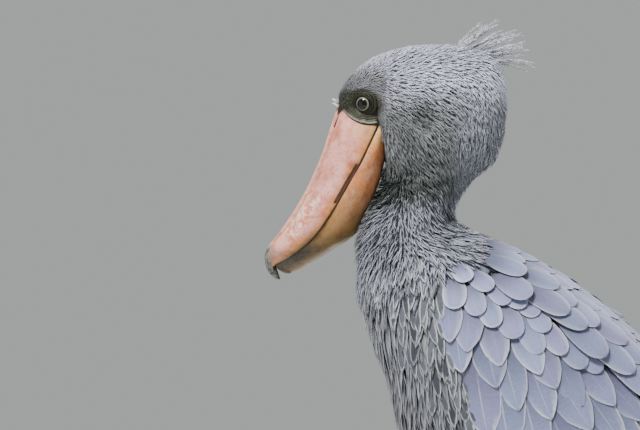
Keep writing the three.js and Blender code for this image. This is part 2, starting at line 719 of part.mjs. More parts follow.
function toeShape(side, name, grow = 0) {
  const { ahead, hub } = toePath(side, name);
  const long = TOE_LENGTHS[name];
  const knuckles = [[0, 11], [0.16, 10], [0.3, 8.6], [0.4, 9.4], [0.54, 7.6], [0.66, 8.2], [0.8, 6.4], [0.92, 6.8], [1, 5.2]];
  const points = knuckles.map(([f, radius]) => {
    const place = hub.clone().addScaledVector(ahead, 4 + f * long);
    return [place.x, place.y, radius * 0.82, radius];
  });
  return limb(points, 6, grow, 7).subtract(GROUND);
}

function clawShape(side, name) {
  const { ahead, hub } = toePath(side, name);
  const from = 4 + TOE_LENGTHS[name];
  const bend = [[-4, 5.4, 4.2], [4, 6.6, 4.2], [11, 6, 3.3], [18, 3.8, 2], [CLAW_LENGTH, 0.9, 0.5]];
  return limb(bend.map(([f, high, radius]) => {
    const place = hub.clone().addScaledVector(ahead, from + f);
    return [place.x, place.y, high, radius];
  }), 5, 0, 4).subtract(GROUND);
}

// Every node's solid
const grownBody = wholeBody(SEAM);
const grownLids = joined([LEFT, RIGHT].map((side) => lids(side, SEAM)));
const lowerBill = billLoft(lowerHalfSection);
const eyeHoles = joined([LEFT, RIGHT].map((side) => ball(eyeCentre(side), EYE_RADIUS + SEAM)));
const upperBill = upperBillShape().subtract(grownLids).subtract(eyeHoles);
const tailVanes = steps(0, TAIL_VANES - 1, TAIL_VANES - 1).map(tailVane);
const tailSolid = joined([tailCore(TAIL_BASE), ...tailVanes]).subtract(grownBody);
const headCut = partingSlab([-185, 950], [-30, 998], SEAM);
const neckCut = partingSlab([-206, 872], [-76, 917], SEAM);

let body = wholeBody(0);
for (const side of [LEFT, RIGHT]) body = body.subtract(socketRecess(side)).add(lids(side));
body = body.subtract(eyeHoles).subtract(headCut).subtract(neckCut);
const [torsoSolid, headSolid, neckPiece] = body.decompose().sort((a, b) => b.volume() - a.volume());
const neckSolid = neckPiece.subtract(lowerBill);

const feathered = new THREE.MeshStandardMaterial({ color: 0x8f93a3, roughness: 0.9, metalness: 0 });
const slate = new THREE.MeshStandardMaterial({ color: 0x747a8c, roughness: 0.85, metalness: 0 });
const horn = new THREE.MeshStandardMaterial({ color: 0xc6957a, roughness: 0.5, metalness: 0 });
const iris = new THREE.MeshStandardMaterial({ color: 0x9aa08c, roughness: 0.15, metalness: 0 });
const legSkin = new THREE.MeshStandardMaterial({ color: 0x3c3e42, roughness: 0.7, metalness: 0 });
const clawHorn = new THREE.MeshStandardMaterial({ color: 0x2a2826, roughness: 0.45, metalness: 0 });

const bird = new THREE.Group();
bird.position.x = -CENTRE_X;

function addNode(name, shape, material) {
  const mesh = new THREE.Mesh(toGeometry(shape), material);
  mesh.name = name;
  bird.add(mesh);
}

addNode('head', headSolid, feathered);
addNode('neck', neckSolid, feathered);
addNode('torso', joined([torsoSolid, ...breastVanes()]), feathered);
addNode('tail', tailSolid, slate);
addNode('crest', crestShape().subtract(grownBody), feathered);
addNode('bill_upper', upperBill.subtract(grownBody), horn);
addNode('bill_lower', lowerBill.subtract(grownBody), horn);

for (const [name, side] of Object.entries(SIDES)) {
  addNode(`eye_${name}`, ball(eyeCentre(side), EYE_RADIUS), iris);
  addNode(`wing_${name}`, wingShape(side).subtract(grownBody), slate);
  addNode(`thigh_${name}`, thighShape(side).subtract(grownBody), feathered);
  const shank = shankShape(side).subtract(GROUND);
  addNode(`leg_${name}`, shank.subtract(thighShape(side, SEAM)), legSkin);
  let taken = shankShape(side, SEAM);
  for (const toe of Object.keys(TOE_LENGTHS)) {
    addNode(`toe_${name}_${toe}`, toeShape(side, toe).subtract(taken), legSkin);
    taken = taken.add(toeShape(side, toe, SEAM));
    addNode(`claw_${name}_${toe}`, clawShape(side, toe).subtract(toeShape(side, toe, SEAM)), clawHorn);
  }
}

export default bird;
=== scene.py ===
"""A shoebill standing at rest: skin, plumage, bill, eyes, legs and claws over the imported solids.

The bird faces -X, its left side faces -Y. Shapes are worked out in millimetres and built in metres.
"""
import math

import bmesh
import bpy
import numpy as np
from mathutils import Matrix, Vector
from mathutils.bvhtree import BVHTree
from mathutils.noise import fractal


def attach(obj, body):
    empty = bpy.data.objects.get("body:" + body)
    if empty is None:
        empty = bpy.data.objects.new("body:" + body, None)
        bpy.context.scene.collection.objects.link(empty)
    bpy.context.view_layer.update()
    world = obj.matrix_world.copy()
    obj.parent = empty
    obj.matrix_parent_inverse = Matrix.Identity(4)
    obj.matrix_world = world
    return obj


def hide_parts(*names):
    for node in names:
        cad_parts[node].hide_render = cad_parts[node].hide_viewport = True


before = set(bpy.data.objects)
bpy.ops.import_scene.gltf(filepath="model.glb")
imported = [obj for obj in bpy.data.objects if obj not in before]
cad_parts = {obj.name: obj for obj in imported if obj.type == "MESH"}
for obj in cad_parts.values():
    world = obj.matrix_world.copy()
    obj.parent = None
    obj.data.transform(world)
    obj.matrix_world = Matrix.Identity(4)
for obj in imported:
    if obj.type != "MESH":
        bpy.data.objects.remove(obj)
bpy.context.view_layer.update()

CENTRE_X = 70.0
MILLIMETRE = 0.001
MERGE = 1e-6
LEFT, RIGHT = -1, 1
SIDES = {"left": LEFT, "right": RIGHT}
ACROSS = np.array([0, 1.0, 0])
UP = np.array([0, 0, 1.0])
draw = np.random.default_rng(850)

# Outlines seen from the side, from the neck's root to the wing tips: back x z, belly x z, half width
PLUMAGE = np.array([
    [-79, 924, -206, 880, 66], [-30, 900, -202, 828, 96], [32, 870, -187, 775, 120],
    [84, 832, -166, 724, 134], [130, 795, -152, 665, 141], [175, 748, -127, 605, 143],
    [218, 698, -90, 558, 141], [258, 648, -40, 520, 134], [296, 600, 25, 497, 122],
    [328, 554, 100, 484, 106], [357, 512, 182, 466, 88], [385, 470, 258, 440, 70],
    [411, 431, 322, 406, 56], [436, 394, 374, 372, 44], [459, 360, 418, 342, 32],
], float)
LAST_STATION = 13.9
MIDLINE = 0.06
# The folded wing's lower edge: stations and angles from the back
WING_LOW = ([0.9, 1.2, 1.5, 2.8, 4.4, 6, 8, 10, 12, 14], [70, 82, 92, 106, 110, 112, 108, 98, 88, 80])


def metres(points):
    """Millimetres in the outlines' frame to metres in the row's frame"""
    moved = np.array(points, float)
    moved[..., 0] -= CENTRE_X
    return moved * MILLIMETRE


def unit(vectors):
    length = np.linalg.norm(vectors, axis=-1, keepdims=True)
    return vectors / np.maximum(length, 1e-9)


def dot(a, b):
    return np.sum(a * b, axis=-1)


def ease(value, low, high):
    """A smooth rise from nothing at low to one at high"""
    f = np.clip((np.asarray(value, float) - low) / (high - low), 0, 1)
    return f * f * (3 - 2 * f)


def mixed(share, first, second):
    """A blend of two colours or directions by a share for each place"""
    share = np.asarray(share)[..., None]
    return np.asarray(first) * (1 - share) + np.asarray(second) * share


def painted(tint, layers):
    """Lays named colours over a tint in order; each has its share and its colour"""
    for share, colour in layers.values():
        tint = mixed(share, tint, colour)
    return tint


def full_turn(count):
    return np.linspace(0, 2 * math.pi, count, endpoint=False)


def spline(rows, station):
    """A smooth curve through rows of numbers, read at stations counted from the first row"""
    rows = np.asarray(rows, float)
    station = np.clip(np.asarray(station, float), 0, len(rows) - 1)
    k = np.minimum(station.astype(int), len(rows) - 2)
    f = (station - k)[..., None]
    padded = np.vstack([2 * rows[0] - rows[1], rows, 2 * rows[-1] - rows[-2]])
    a, b, c, d = (padded[k + i] for i in range(4))
    square, cube = 2 * a - 5 * b + 4 * c - d, 3 * b - a - 3 * c + d
    return 0.5 * (2 * b + (c - a) * f + square * f ** 2 + cube * f ** 3)


def plumage(station, angle, side):
    """A point on the plumage's outer surface, at an angle from the back"""
    s = spline(PLUMAGE, station)
    back = np.stack([s[..., 0], 0 * s[..., 0], s[..., 1]], -1)
    belly = np.stack([s[..., 2], 0 * s[..., 0], s[..., 3]], -1)
    point = (back + belly) / 2 + (back - belly) / 2 * np.cos(angle)[..., None]
    point[..., 1] += side * s[..., 4] * np.sin(angle)
    return point


def surface_frame(station, angle, side, e=0.01):
    """The plumage surface's directions along and around the body, and its outward normal"""
    along = (plumage(station + e, angle, side) - plumage(station - e, angle, side)) / (2 * e)
    around = (plumage(station, angle + e, side) - plumage(station, angle - e, side)) / (2 * e)
    return along, around, unit(np.cross(along, around)) * np.asarray(side)[..., None]


def step_on(station, angle, side, heading, distance):
    """Where a step along a heading leads on the plumage"""
    along, around, _ = surface_frame(station, angle, side)
    ss, aa, sa = dot(along, along), dot(around, around), dot(along, around)
    hs, ha = dot(heading, along), dot(heading, around)
    det = ss * aa - sa * sa
    ds, da = (hs * aa - ha * sa) / det, (ha * ss - hs * sa) / det
    travelled = np.linalg.norm(along * ds[..., None] + around * da[..., None], axis=-1)
    return (np.minimum(LAST_STATION, station + ds * distance / travelled),
            np.maximum(MIDLINE, angle + da * distance / travelled))


def lie(station, angle, side):
    """How the body's feathers point: steeply down the breast, flatter over the back, together at the rear"""
    slope = np.radians(28 + 50 * ease(np.degrees(angle), 12, 100))
    front = np.stack([np.cos(slope), 0 * slope, -np.sin(slope)], -1)
    ahead = unit(surface_frame(station, angle, side, 0.05)[0])
    return unit(mixed(ease(station, 2.5, 9.5), front, ahead))


def new_object(name, mesh):
    piece = bpy.data.objects.new(name, mesh)
    bpy.context.scene.collection.objects.link(piece)
    return piece


def finish_piece(piece, material, replaces=()):
    piece.data.materials.clear()
    piece.data.materials.append(material)
    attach(piece, "root")
    if replaces:
        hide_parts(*replaces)
    return piece


def smooth_shaded(mesh):
    mesh.polygons.foreach_set("use_smooth", np.ones(len(mesh.polygons), bool))
    mesh.update()
    return mesh


def built(name, bm):
    """A mesh from a filled bmesh"""
    mesh = bpy.data.meshes.new(name)
    bm.to_mesh(mesh)
    bm.free()
    return mesh


def lofted(name, points, colours=None, looped=False):
    """A closed form from rows of rings: its ends drawn in to poles, or the last row joined to the first"""
    if not looped:
        first, last = (np.repeat(end.mean(1, keepdims=True), points.shape[1], 1)
                       for end in (points[:1], points[-1:]))
        points = np.concatenate([first, points, last])
        if colours is not None:
            colours = np.concatenate([colours[:1], colours, colours[-1:]])
    rows, columns = points.shape[:2]
    steps = rows if looped else rows - 1
    bm = bmesh.new()
    bmesh.ops.create_grid(bm, x_segments=columns, y_segments=steps, size=1)
    layer = None if colours is None else bm.verts.layers.float_color.new("Tint")
    placed = metres(points)
    for vertex in bm.verts:
        column = round((vertex.co.x + 1) / 2 * columns) % columns
        row = round((vertex.co.y + 1) / 2 * steps) % rows
        vertex.co = placed[row, column]
        if layer:
            vertex[layer] = (*colours[row, column], 1)
    bmesh.ops.remove_doubles(bm, verts=bm.verts, dist=MERGE)
    bmesh.ops.recalc_face_normals(bm, faces=bm.faces)
    return new_object(name, smooth_shaded(built(name, bm)))


def rings(middle, across, rise, wide, high, turn):
    """Rings round a path, from its points, the rings' two axes and the half widths along them"""
    return (middle[:, None] + across * (wide * np.cos(turn))[..., None]
            + rise * (high * np.sin(turn))[..., None])


# Materials


class Look:
    """A material with short ways to add its nodes. Underscores stand for spaces in a socket's name"""

    def __init__(self, name, roughness, **sockets):
        self.material = bpy.data.materials.new(name)
        self.material.use_nodes = True
        self.nodes, self.links = self.material.node_tree.nodes, self.material.node_tree.links
        self.surface = self.nodes["Principled BSDF"].inputs
        self.surface["Roughness"].default_value = roughness
        for socket, value in sockets.items():
            self.surface[socket.replace("_", " ")].default_value = value

    def feed(self, node, inputs):
        """Fills a node's inputs with plain values or sockets and gives its outputs"""
        for key, value in inputs.items():
            if isinstance(value, bpy.types.NodeSocket):
                self.links.new(value, node.inputs[key])
            else:
                node.inputs[key].default_value = value
        return node.outputs

    def place(self):
        return self.nodes.new("ShaderNodeTexCoord").outputs["Object"]

    def stretched(self, vector, scale):
        return self.feed(self.nodes.new("ShaderNodeMapping"), {"Vector": vector, "Scale": scale})["Vector"]

    def attribute(self, name, output="Color"):
        node = self.nodes.new("ShaderNodeAttribute")
        node.attribute_name = name
        return node.outputs[output]

    def noise(self, vector, scale, detail=3.0, roughness=0.55):
        node = self.nodes.new("ShaderNodeTexNoise")
        inputs = {"Vector": vector, "Scale": scale, "Detail": detail, "Roughness": roughness}
        return self.feed(node, inputs)["Fac"]

    def vector_math(self, operation, *inputs, output=0):
        node = self.nodes.new("ShaderNodeVectorMath")
        node.operation = operation
        return self.feed(node, dict(enumerate(inputs)))[output]

    def ramp(self, value, *stops):
        """Colours by a value; each stop is a place and a colour or a grey"""
        node = self.nodes.new("ShaderNodeValToRGB")
        while len(node.color_ramp.elements) < len(stops):
            node.color_ramp.elements.new(0.5)
        for element, (place, colour) in zip(node.color_ramp.elements, stops):
            element.position = place
            element.color = (*colour, 1) if isinstance(colour, tuple) else (colour, colour, colour, 1)
        return self.feed(node, {"Fac": value})["Color"]

    def blend(self, kind, factor, first, second):
        node = self.nodes.new("ShaderNodeMix")
        node.data_type = "RGBA"
        node.blend_type = kind
        return self.feed(node, {0: factor, 6: first, 7: second})[2]

    def multiplied(self, first, second, share=1.0):
        return self.blend("MULTIPLY", share, first, second)

    def finish(self, colour, height, strength, distance):
        """Gives the surface its colour and its fine relief"""
        self.links.new(colour, self.surface["Base Color"])
        node = self.nodes.new("ShaderNodeBump")
        relief = self.feed(node, {"Height": height, "Strength": strength, "Distance": distance})
        self.links.new(relief["Normal"], self.surface["Normal"])
        return self.material


def feather_material(name, barb_scale, barb_strength, roughness, sheen):
    """Feather vanes: the tint they carry, fine barbs along the vane, a pale edge and a pale quill"""
    look = Look(name, roughness, Sheen_Weight=sheen, Sheen_Roughness=0.5, Specular_IOR_Level=0.25)
    vane = look.nodes.new("ShaderNodeUVMap")
    vane.uv_map = "Vane"
    barbs = look.noise(look.stretched(vane.outputs["UV"], barb_scale), 1.0, 4.0, 0.6)
    streak = look.ramp(barbs, (0.3, 1 - barb_strength), (0.7, 1 + barb_strength * 0.6))
    tinted = look.multiplied(look.attribute("Tint"), streak)
    pale = look.blend("MIX", look.attribute("Pale", "Fac"), tinted, (0.6, 0.61, 0.65, 1))
    return look.finish(pale, barbs, 0.25, 0.0006)


def tinted_skin(name, roughness, grain, tones, relief, **sockets):
    """Skin with the tint it carries, broken by a fine grain"""
    look = Look(name, roughness, **sockets)
    fine = look.noise(look.place(), *grain)
    dark, light = tones
    shades = look.ramp(fine, (0.3, dark), (0.7, light))
    return look.finish(look.multiplied(look.attribute("Tint"), shades), fine, 0.5, relief)


def horn_material():
    """The bill's horn: the tint it carries, broken by mottling, flakes and fine long scratches"""
    look = Look("bill_horn", 0.4, Specular_IOR_Level=0.4)
    place = look.place()
    mottle = look.noise(place, 55.0, 6.0, 0.65)
    patches = look.ramp(mottle, (0.34, (0.72, 0.6, 0.54)), (0.5, 1.0), (0.68, (1.14, 1.12, 1.1)))
    spots = look.ramp(look.noise(place, 420.0, 3.0, 0.7), (0.34, (0.5, 0.36, 0.3)), (0.44, 1.0))
    speckled = look.multiplied(look.multiplied(look.attribute("Tint"), patches), spots, 0.55)
    wear = look.noise(look.stretched(place, (500, 500, 90)), 1.0, 4.0, 0.6)
    rubbed = look.blend("MIX", look.ramp(wear, (0.6, 0.0), (0.8, 0.35)), speckled, (0.62, 0.5, 0.38, 1))
    look.links.new(look.ramp(mottle, (0.35, 0.5), (0.65, 0.3)), look.surface["Roughness"])
    return look.finish(rubbed, mottle, 0.3, 0.0012)


def leg_material():
    """Dark scaled skin: small plates with pale joints"""
    look = Look("leg_scales", 0.6, Specular_IOR_Level=0.3)
    place = look.place()
    cells = look.nodes.new("ShaderNodeTexVoronoi")
    cells.feature = "DISTANCE_TO_EDGE"
    gap = look.feed(cells, {"Vector": look.stretched(place, (1, 1, 0.8)), "Scale": 230.0})["Distance"]
    plates = look.ramp(gap, (0.0, (0.014, 0.014, 0.016)), (0.08, (0.038, 0.04, 0.045)),
                       (0.4, (0.062, 0.064, 0.07)))
    worn = look.ramp(look.noise(place, 60.0, 5.0, 0.6), (0.35, 0.75), (0.7, 1.5))
    return look.finish(look.multiplied(plates, worn), look.ramp(gap, (0.0, 0.0), (0.14, 1.0)), 0.9, 0.0012)


def claw_material():
    look = Look("claw_horn", 0.35)
    grain = look.noise(look.place(), 300.0, 4.0)
    tones = look.ramp(grain, (0.3, (0.02, 0.018, 0.017)), (0.75, (0.075, 0.066, 0.06)))
    return look.finish(tones, grain, 0.2, 0.0004)


def eye_material(name, centre, facing):
    """A pale ring round a dark pupil, darker again at the rim, under a wet coat"""
    look = Look(name, 0.08, Coat_Weight=0.25, Coat_Roughness=0.03, Specular_IOR_Level=0.2)
    place = look.place()
    outward = look.vector_math("NORMALIZE", look.vector_math("SUBTRACT", place, centre))
    rings_seen = look.ramp(
        look.vector_math("DOT_PRODUCT", outward, facing, output="Value"),
        (0.62, (0.006, 0.006, 0.003)), (0.67, (0.02, 0.02, 0.012)), (0.7, (0.13, 0.145, 0.1)),
        (0.765, (0.17, 0.19, 0.13)), (0.8, (0.018, 0.022, 0.012)), (0.88, (0.002, 0.002, 0.002)))
    streaks = look.ramp(look.noise(place, 900.0, 3.0), (0.3, 0.75), (0.7, 1.2))
    look.links.new(look.multiplied(rings_seen, streaks), look.surface["Base Color"])
    return look.material


wing_vane = feather_material("wing_vanes", (7.0, 34.0, 1.0), 0.16, 0.6, 0.08)
body_vane = feather_material("body_vanes", (9.0, 10.0, 1.0), 0.25, 0.75, 0.06)
down_vane = feather_material("down_tufts", (5.0, 3.0, 1.0), 0.2, 0.85, 0.05)
bed = tinted_skin("plumage_bed", 0.85, (160.0, 4.0), (0.6, 1.25), 0.0015)
lid_skin = tinted_skin("bare_skin", 0.55, (420.0, 5.0, 0.6), (0.55, 1.35), 0.0008, Specular_IOR_Level=0.15)
horn = horn_material()
leg_scales = leg_material()
claw_horn = claw_material()


# One surface under all the plumage, drawn in from the outer form by the coat's depth

VOXEL = 0.004
BODY_END = 12.2
REAR_CAP = 0.7
COAT_DEPTH = {"body": 8.0, "neck": 7.5, "head": 4.5, "thigh": 6.0}
HEAD_LINE = (-185, 950), (-30, 998)
NECK_LINE = (-206, 872), (-76, 917)


def body_form():
    """The body up to the tail's root, with a rounded end"""
    cap = BODY_END - REAR_CAP
    rear = BODY_END - REAR_CAP * (1 - np.linspace(0.2, 0.99, 8))
    angles = full_turn(72)
    side = np.where(np.sin(angles) < 0, -1, 1)
    rows = []
    for station in [*np.linspace(0.0, cap, 60), *rear]:
        around = plumage(np.full(len(angles), station), np.arccos(np.cos(angles)), side)
        late = max(0.0, (station - cap) / REAR_CAP)
        centre = around.mean(0)
        rows.append(centre + (around - centre) * math.sqrt(max(0.0, 1 - late ** 2)))
    return lofted("body_form", np.array(rows))


def make_skin():
    body = body_form()
    bm = bmesh.new()
    bm.from_mesh(body.data)
    for node in ("head", "neck", "thigh_left", "thigh_right"):
        part = bmesh.new()
        part.from_mesh(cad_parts[node].data)
        bmesh.ops.remove_doubles(part, verts=part.verts, dist=MERGE)
        bm.from_mesh(built(node + "_form", part))
    joined = new_object("skin_form", built("skin_form", bm))
    remesh = joined.modifiers.new("remesh", "REMESH")
    remesh.mode = "VOXEL"
    remesh.voxel_size = VOXEL
    relax = joined.modifiers.new("relax", "SMOOTH")
    relax.factor = 0.5
    relax.iterations = 12
    bpy.context.view_layer.update()
    evaluated = joined.evaluated_get(bpy.context.evaluated_depsgraph_get())
    skin_mesh = bpy.data.meshes.new_from_object(evaluated)
    for form in (body, joined):
        bpy.data.objects.remove(form)
    return skin_mesh


def vertex_arrays(mesh):
    points = np.zeros(len(mesh.vertices) * 3)
    normals = np.zeros(len(mesh.vertices) * 3)
    mesh.vertices.foreach_get("co", points)
    mesh.vertex_normals.foreach_get("vector", normals)
    return points.reshape(-1, 3), normals.reshape(-1, 3)


def outline_frame(points):
    """Metres in the row's frame back to millimetres in the outlines' frame"""
    back = np.array(points, float) * 1000
    back[..., 0] += CENTRE_X
    return back


def above_line(p, start, end):
    """How far points lie above a line drawn in the side view"""
    along = np.array([end[0] - start[0], end[1] - start[1]], float)
    along /= np.linalg.norm(along)
    return (p[..., 2] - start[1]) * along[0] - (p[..., 0] - start[0]) * along[1]


def on_head(p):
    return above_line(p, *HEAD_LINE)


def on_neck(p):
    return above_line(p, *NECK_LINE)


STATION_TABLE = np.arange(0, 14.01, 0.1)
STATION_ROWS = spline(PLUMAGE, STATION_TABLE)
BATCH = 4000


def body_place(p):
    """The station and the angle from the back of points on the body"""
    back, belly, wide = STATION_ROWS[:, 0:2], STATION_ROWS[:, 2:4], STATION_ROWS[:, 4]
    centre = (back + belly) / 2
    up = (back - belly) / 2
    reach = np.linalg.norm(up, axis=1)
    up = up / reach[:, None]
    best_station = np.zeros(len(p))
    best_angle = np.zeros(len(p))
    for start in range(0, len(p), BATCH):
        part = slice(start, start + BATCH)
        away = p[part][:, None, [0, 2]] - centre[None]
        off = np.abs(away[..., 0] * up[:, 1] - away[..., 1] * up[:, 0])
        height = away[..., 0] * up[:, 0] + away[..., 1] * up[:, 1]
        k = (off + 0.35 * np.maximum(0, np.abs(height) - reach)).argmin(1)
        best_station[part] = STATION_TABLE[k]
        best_angle[part] = np.arctan2(np.abs(p[part, 1]) / wide[k], height[np.arange(len(k)), k] / reach[k])
    return best_station, best_angle


def slate_tint(p, base):
    """Large soft changes of tone over the bird, worked out from the place alone"""
    wave = (np.sin(p[:, 0] * 0.031 + 1.3) * np.sin(p[:, 2] * 0.027 + p[:, 1] * 0.02)
            + 0.5 * np.sin(p[:, 0] * 0.083 + p[:, 2] * 0.061))
    return np.asarray(base) * (1 + 0.05 * wave)[:, None]


def coat_depth(p):
    depth = np.where(on_neck(p) > 0, COAT_DEPTH["neck"], COAT_DEPTH["body"])
    depth = np.where(on_head(p) > 0, COAT_DEPTH["head"], depth)
    return np.where((p[:, 2] < 520) & (p[:, 0] < 80), COAT_DEPTH["thigh"], depth)


def eye_gap(p):
    """How far places lie from the middle of the painted shade round the eye, the brow's dark recess, one at
    its rim
    """
    return np.hypot((p[:, 0] + 202) / 26, (p[:, 2] - 1068.5) / 18.5)


# The eyeballs' middles and the ways they look
EYE = {side: np.array([-194.0, side * 40.0, 1070.5]) for side in (LEFT, RIGHT)}
LOOK = {side: unit(np.array([-0.42, side * 0.9, -0.08])) for side in (LEFT, RIGHT)}
EYE_RADIUS = 11.5

skin_mesh = make_skin()
co, normal = vertex_arrays(skin_mesh)
places = outline_frame(co)
co = co - normal * (coat_depth(places) * MILLIMETRE)[:, None]
skin_mesh.vertices.foreach_set("co", co.ravel())
smooth_shaded(skin_mesh)
skin = new_object("skin", skin_mesh)
shade = skin_mesh.attributes.new("Tint", "FLOAT_COLOR", "POINT")
# Painted shade: the bed under the plumage is dark so that the gaps between feathers read as shadow; paler
# under the head and neck, darkest round the eye
bed_shade_tints = painted(np.array([0.06, 0.064, 0.074]), {
    "under head and neck": (ease(on_neck(places), -60, 20), (0.17, 0.176, 0.195)),
    "round the eye": (1 - ease(eye_gap(places), 0.9, 1.4), (0.018, 0.018, 0.01)),
})
shade.data.foreach_set("color", np.hstack([bed_shade_tints, np.ones((len(co), 1))]).ravel())

bpy.context.view_layer.objects.active = skin
skin.select_set(True)
bpy.ops.object.mode_set(mode="EDIT")
bpy.ops.mesh.select_all(action="SELECT")
bpy.ops.uv.smart_project(angle_limit=math.radians(66), island_margin=0.002)
bpy.ops.object.mode_set(mode="OBJECT")
skin.select_set(False)
skin_mesh.uv_layers[0].name = "OFBake"

FLESH = ("head", "neck", "torso", "thigh_left", "thigh_right")
finish_piece(skin, bed, FLESH)

corners = [v.co for v in skin_mesh.vertices]
faces = [tuple(face.vertices) for face in skin_mesh.polygons]
skin_tree = BVHTree.FromPolygons(corners, faces)
loop_uv = np.zeros(len(skin_mesh.loops) * 2)
skin_mesh.uv_layers[0].data.foreach_get("uv", loop_uv)
first_loop = np.array([face.loop_start for face in skin_mesh.polygons])
face_uv = loop_uv.reshape(-1, 2)[first_loop]


def nearest(points):
    """The nearest skin points and faces to points in the outlines' frame"""
    found = [skin_tree.find_nearest(Vector(p)) for p in metres(points)]
    return outline_frame([f[0] for f in found]), np.array([f[2] for f in found])


# Feathers

# How much of the skin's map each vane takes, round the place of its root
BAKE_PATCH = 0.003


def closed_sheet_faces(rows, columns):
    """Faces of a lens-shaped vane: an upper and a lower sheet that share their rim"""
    lower = {}
    count = rows * columns
    for r in range(1, rows - 1):
        for c in range(1, columns - 1):
            lower[r, c] = count
            count += 1
    quads = []
    for r in range(rows - 1):
        for c in range(columns - 1):
            ring = [(r, c), (r + 1, c), (r + 1, c + 1), (r, c + 1)]
            quads.append([i * columns + j for i, j in ring])
            quads.append([lower.get(key, key[0] * columns + key[1]) for key in reversed(ring)])
    inner = [r * columns + c for r, c in lower]
    return np.array(quads), np.array(inner, int), count


def feather_mesh(name, top, normals, thickness, data, root_uv, material):
    """One piece from many vanes; top is vanes x rows x columns of points, data holds their values"""
    count, rows, columns = top.shape[:3]
    quads, inner, per_vane = closed_sheet_faces(rows, columns)
    flat = top.reshape(count, rows * columns, 3)
    under = flat[:, inner] - normals.reshape(count, -1, 3)[:, inner] * thickness

    def spread(values):
        """Values of the upper sheet's points given to the lower sheet's too"""
        values = values.reshape(count, rows * columns, -1)
        return np.concatenate([values, values[:, inner]], 1).reshape(count * per_vane, -1)

    points = metres(np.concatenate([flat, under], 1).reshape(-1, 3))
    indices = (quads[None] + (np.arange(count) * per_vane)[:, None, None]).reshape(-1, 4)
    mesh = bpy.data.meshes.new(name)
    mesh.vertices.add(len(points))
    mesh.vertices.foreach_set("co", points.ravel())
    mesh.loops.add(indices.size)
    mesh.loops.foreach_set("vertex_index", indices.ravel())
    mesh.polygons.add(len(indices))
    mesh.polygons.foreach_set("loop_start", np.arange(0, indices.size, 4))
    mesh.update(calc_edges=True)
    tint = mesh.attributes.new("Tint", "FLOAT_COLOR", "POINT")
    tint.data.foreach_set("color", np.hstack([spread(data["tint"]), np.ones((len(points), 1))]).ravel())
    pale = mesh.attributes.new("Pale", "FLOAT", "POINT")
    pale.data.foreach_set("value", spread(data["pale"]).ravel())
    vane = mesh.uv_layers.new(name="Vane")
    vane.data.foreach_set("uv", spread(data["vane"])[indices.ravel()].ravel())
    patch = mesh.uv_layers.new(name="OFBake")
    centre = np.clip(root_uv, 0.002, 0.998)[:, None, :]
    placed = centre + (data["unit"].reshape(count, rows * columns, 2) - 0.5) * BAKE_PATCH
    patch.data.foreach_set("uv", spread(placed)[indices.ravel()].ravel())
    smooth_shaded(mesh)
    return finish_piece(new_object(name, mesh), material)


def leaf(f, shape):
    """A vane's half width along its length, as a share of the full half width"""
    return np.interp(f, *shape)


ROUND = ([0, 0.12, 0.35, 0.6, 0.8, 0.9, 0.96, 1], [0.3, 0.62, 0.93, 1, 0.9, 0.7, 0.45, 0.06])
POINTED = ([0, 0.12, 0.35, 0.55, 0.75, 0.88, 0.96, 1], [0.3, 0.65, 0.96, 1, 0.8, 0.5, 0.22, 0.03])
LONG = ([0, 0.1, 0.3, 0.7, 0.88, 0.95, 1], [0.35, 0.7, 0.95, 1, 0.75, 0.45, 0.05])
LANCE = ([0, 0.15, 0.4, 0.65, 0.85, 1], [0.35, 0.8, 1, 0.72, 0.36, 0.04])
HAIR = ([0, 0.35, 0.7, 1], [0.7, 1, 0.7, 0.1])


def vane_values(count, f, e, half, long, tint, fringe_amount, quill=0.0, root_overlap_shade=0.6,
                shade_span=(0.05, 0.55), fringe_width=1.9):
    """Tint, paleness and maps of every point of count vanes over rows f and columns e.

    A vane is palest within the fringe's width of its edge, and darkest at its root, which is painted shade
    where the vanes overlap.
    """
    shape = (count, len(f), len(e))
    grid_f = np.broadcast_to(f[None, :, None], shape)
    grid_e = np.broadcast_to(e[None, None, :], shape)
    side_gap = (1 - np.abs(grid_e)) * half[:, :, None]
    tip_gap = (1 - grid_f) * long[:, None, None]
    edge = 1 - ease(np.minimum(side_gap, tip_gap), 0.4 * fringe_width, 1.5 * fringe_width)
    pale = edge * fringe_amount[:, None, None] * ease(grid_f, 0.15, 0.5)
    pale = np.maximum(pale, quill * (1 - ease(np.abs(grid_e), 0.01, 0.05)) * ease(grid_f, 0.2, 0.6))
    # Painted shade: each vane darker towards its root, where the vanes above it cover it
    shade_along = root_overlap_shade + (1 - root_overlap_shade) * ease(grid_f, *shade_span)
    flat_map = np.stack([(grid_e + 1) / 2, grid_f], -1)
    own_grain = np.arange(count)[:, None, None, None] % 97
    return {"tint": tint[:, None, None, :] * shade_along[..., None], "pale": pale, "unit": flat_map,
            "vane": flat_map + own_grain * np.array([1.0, 1.0])}


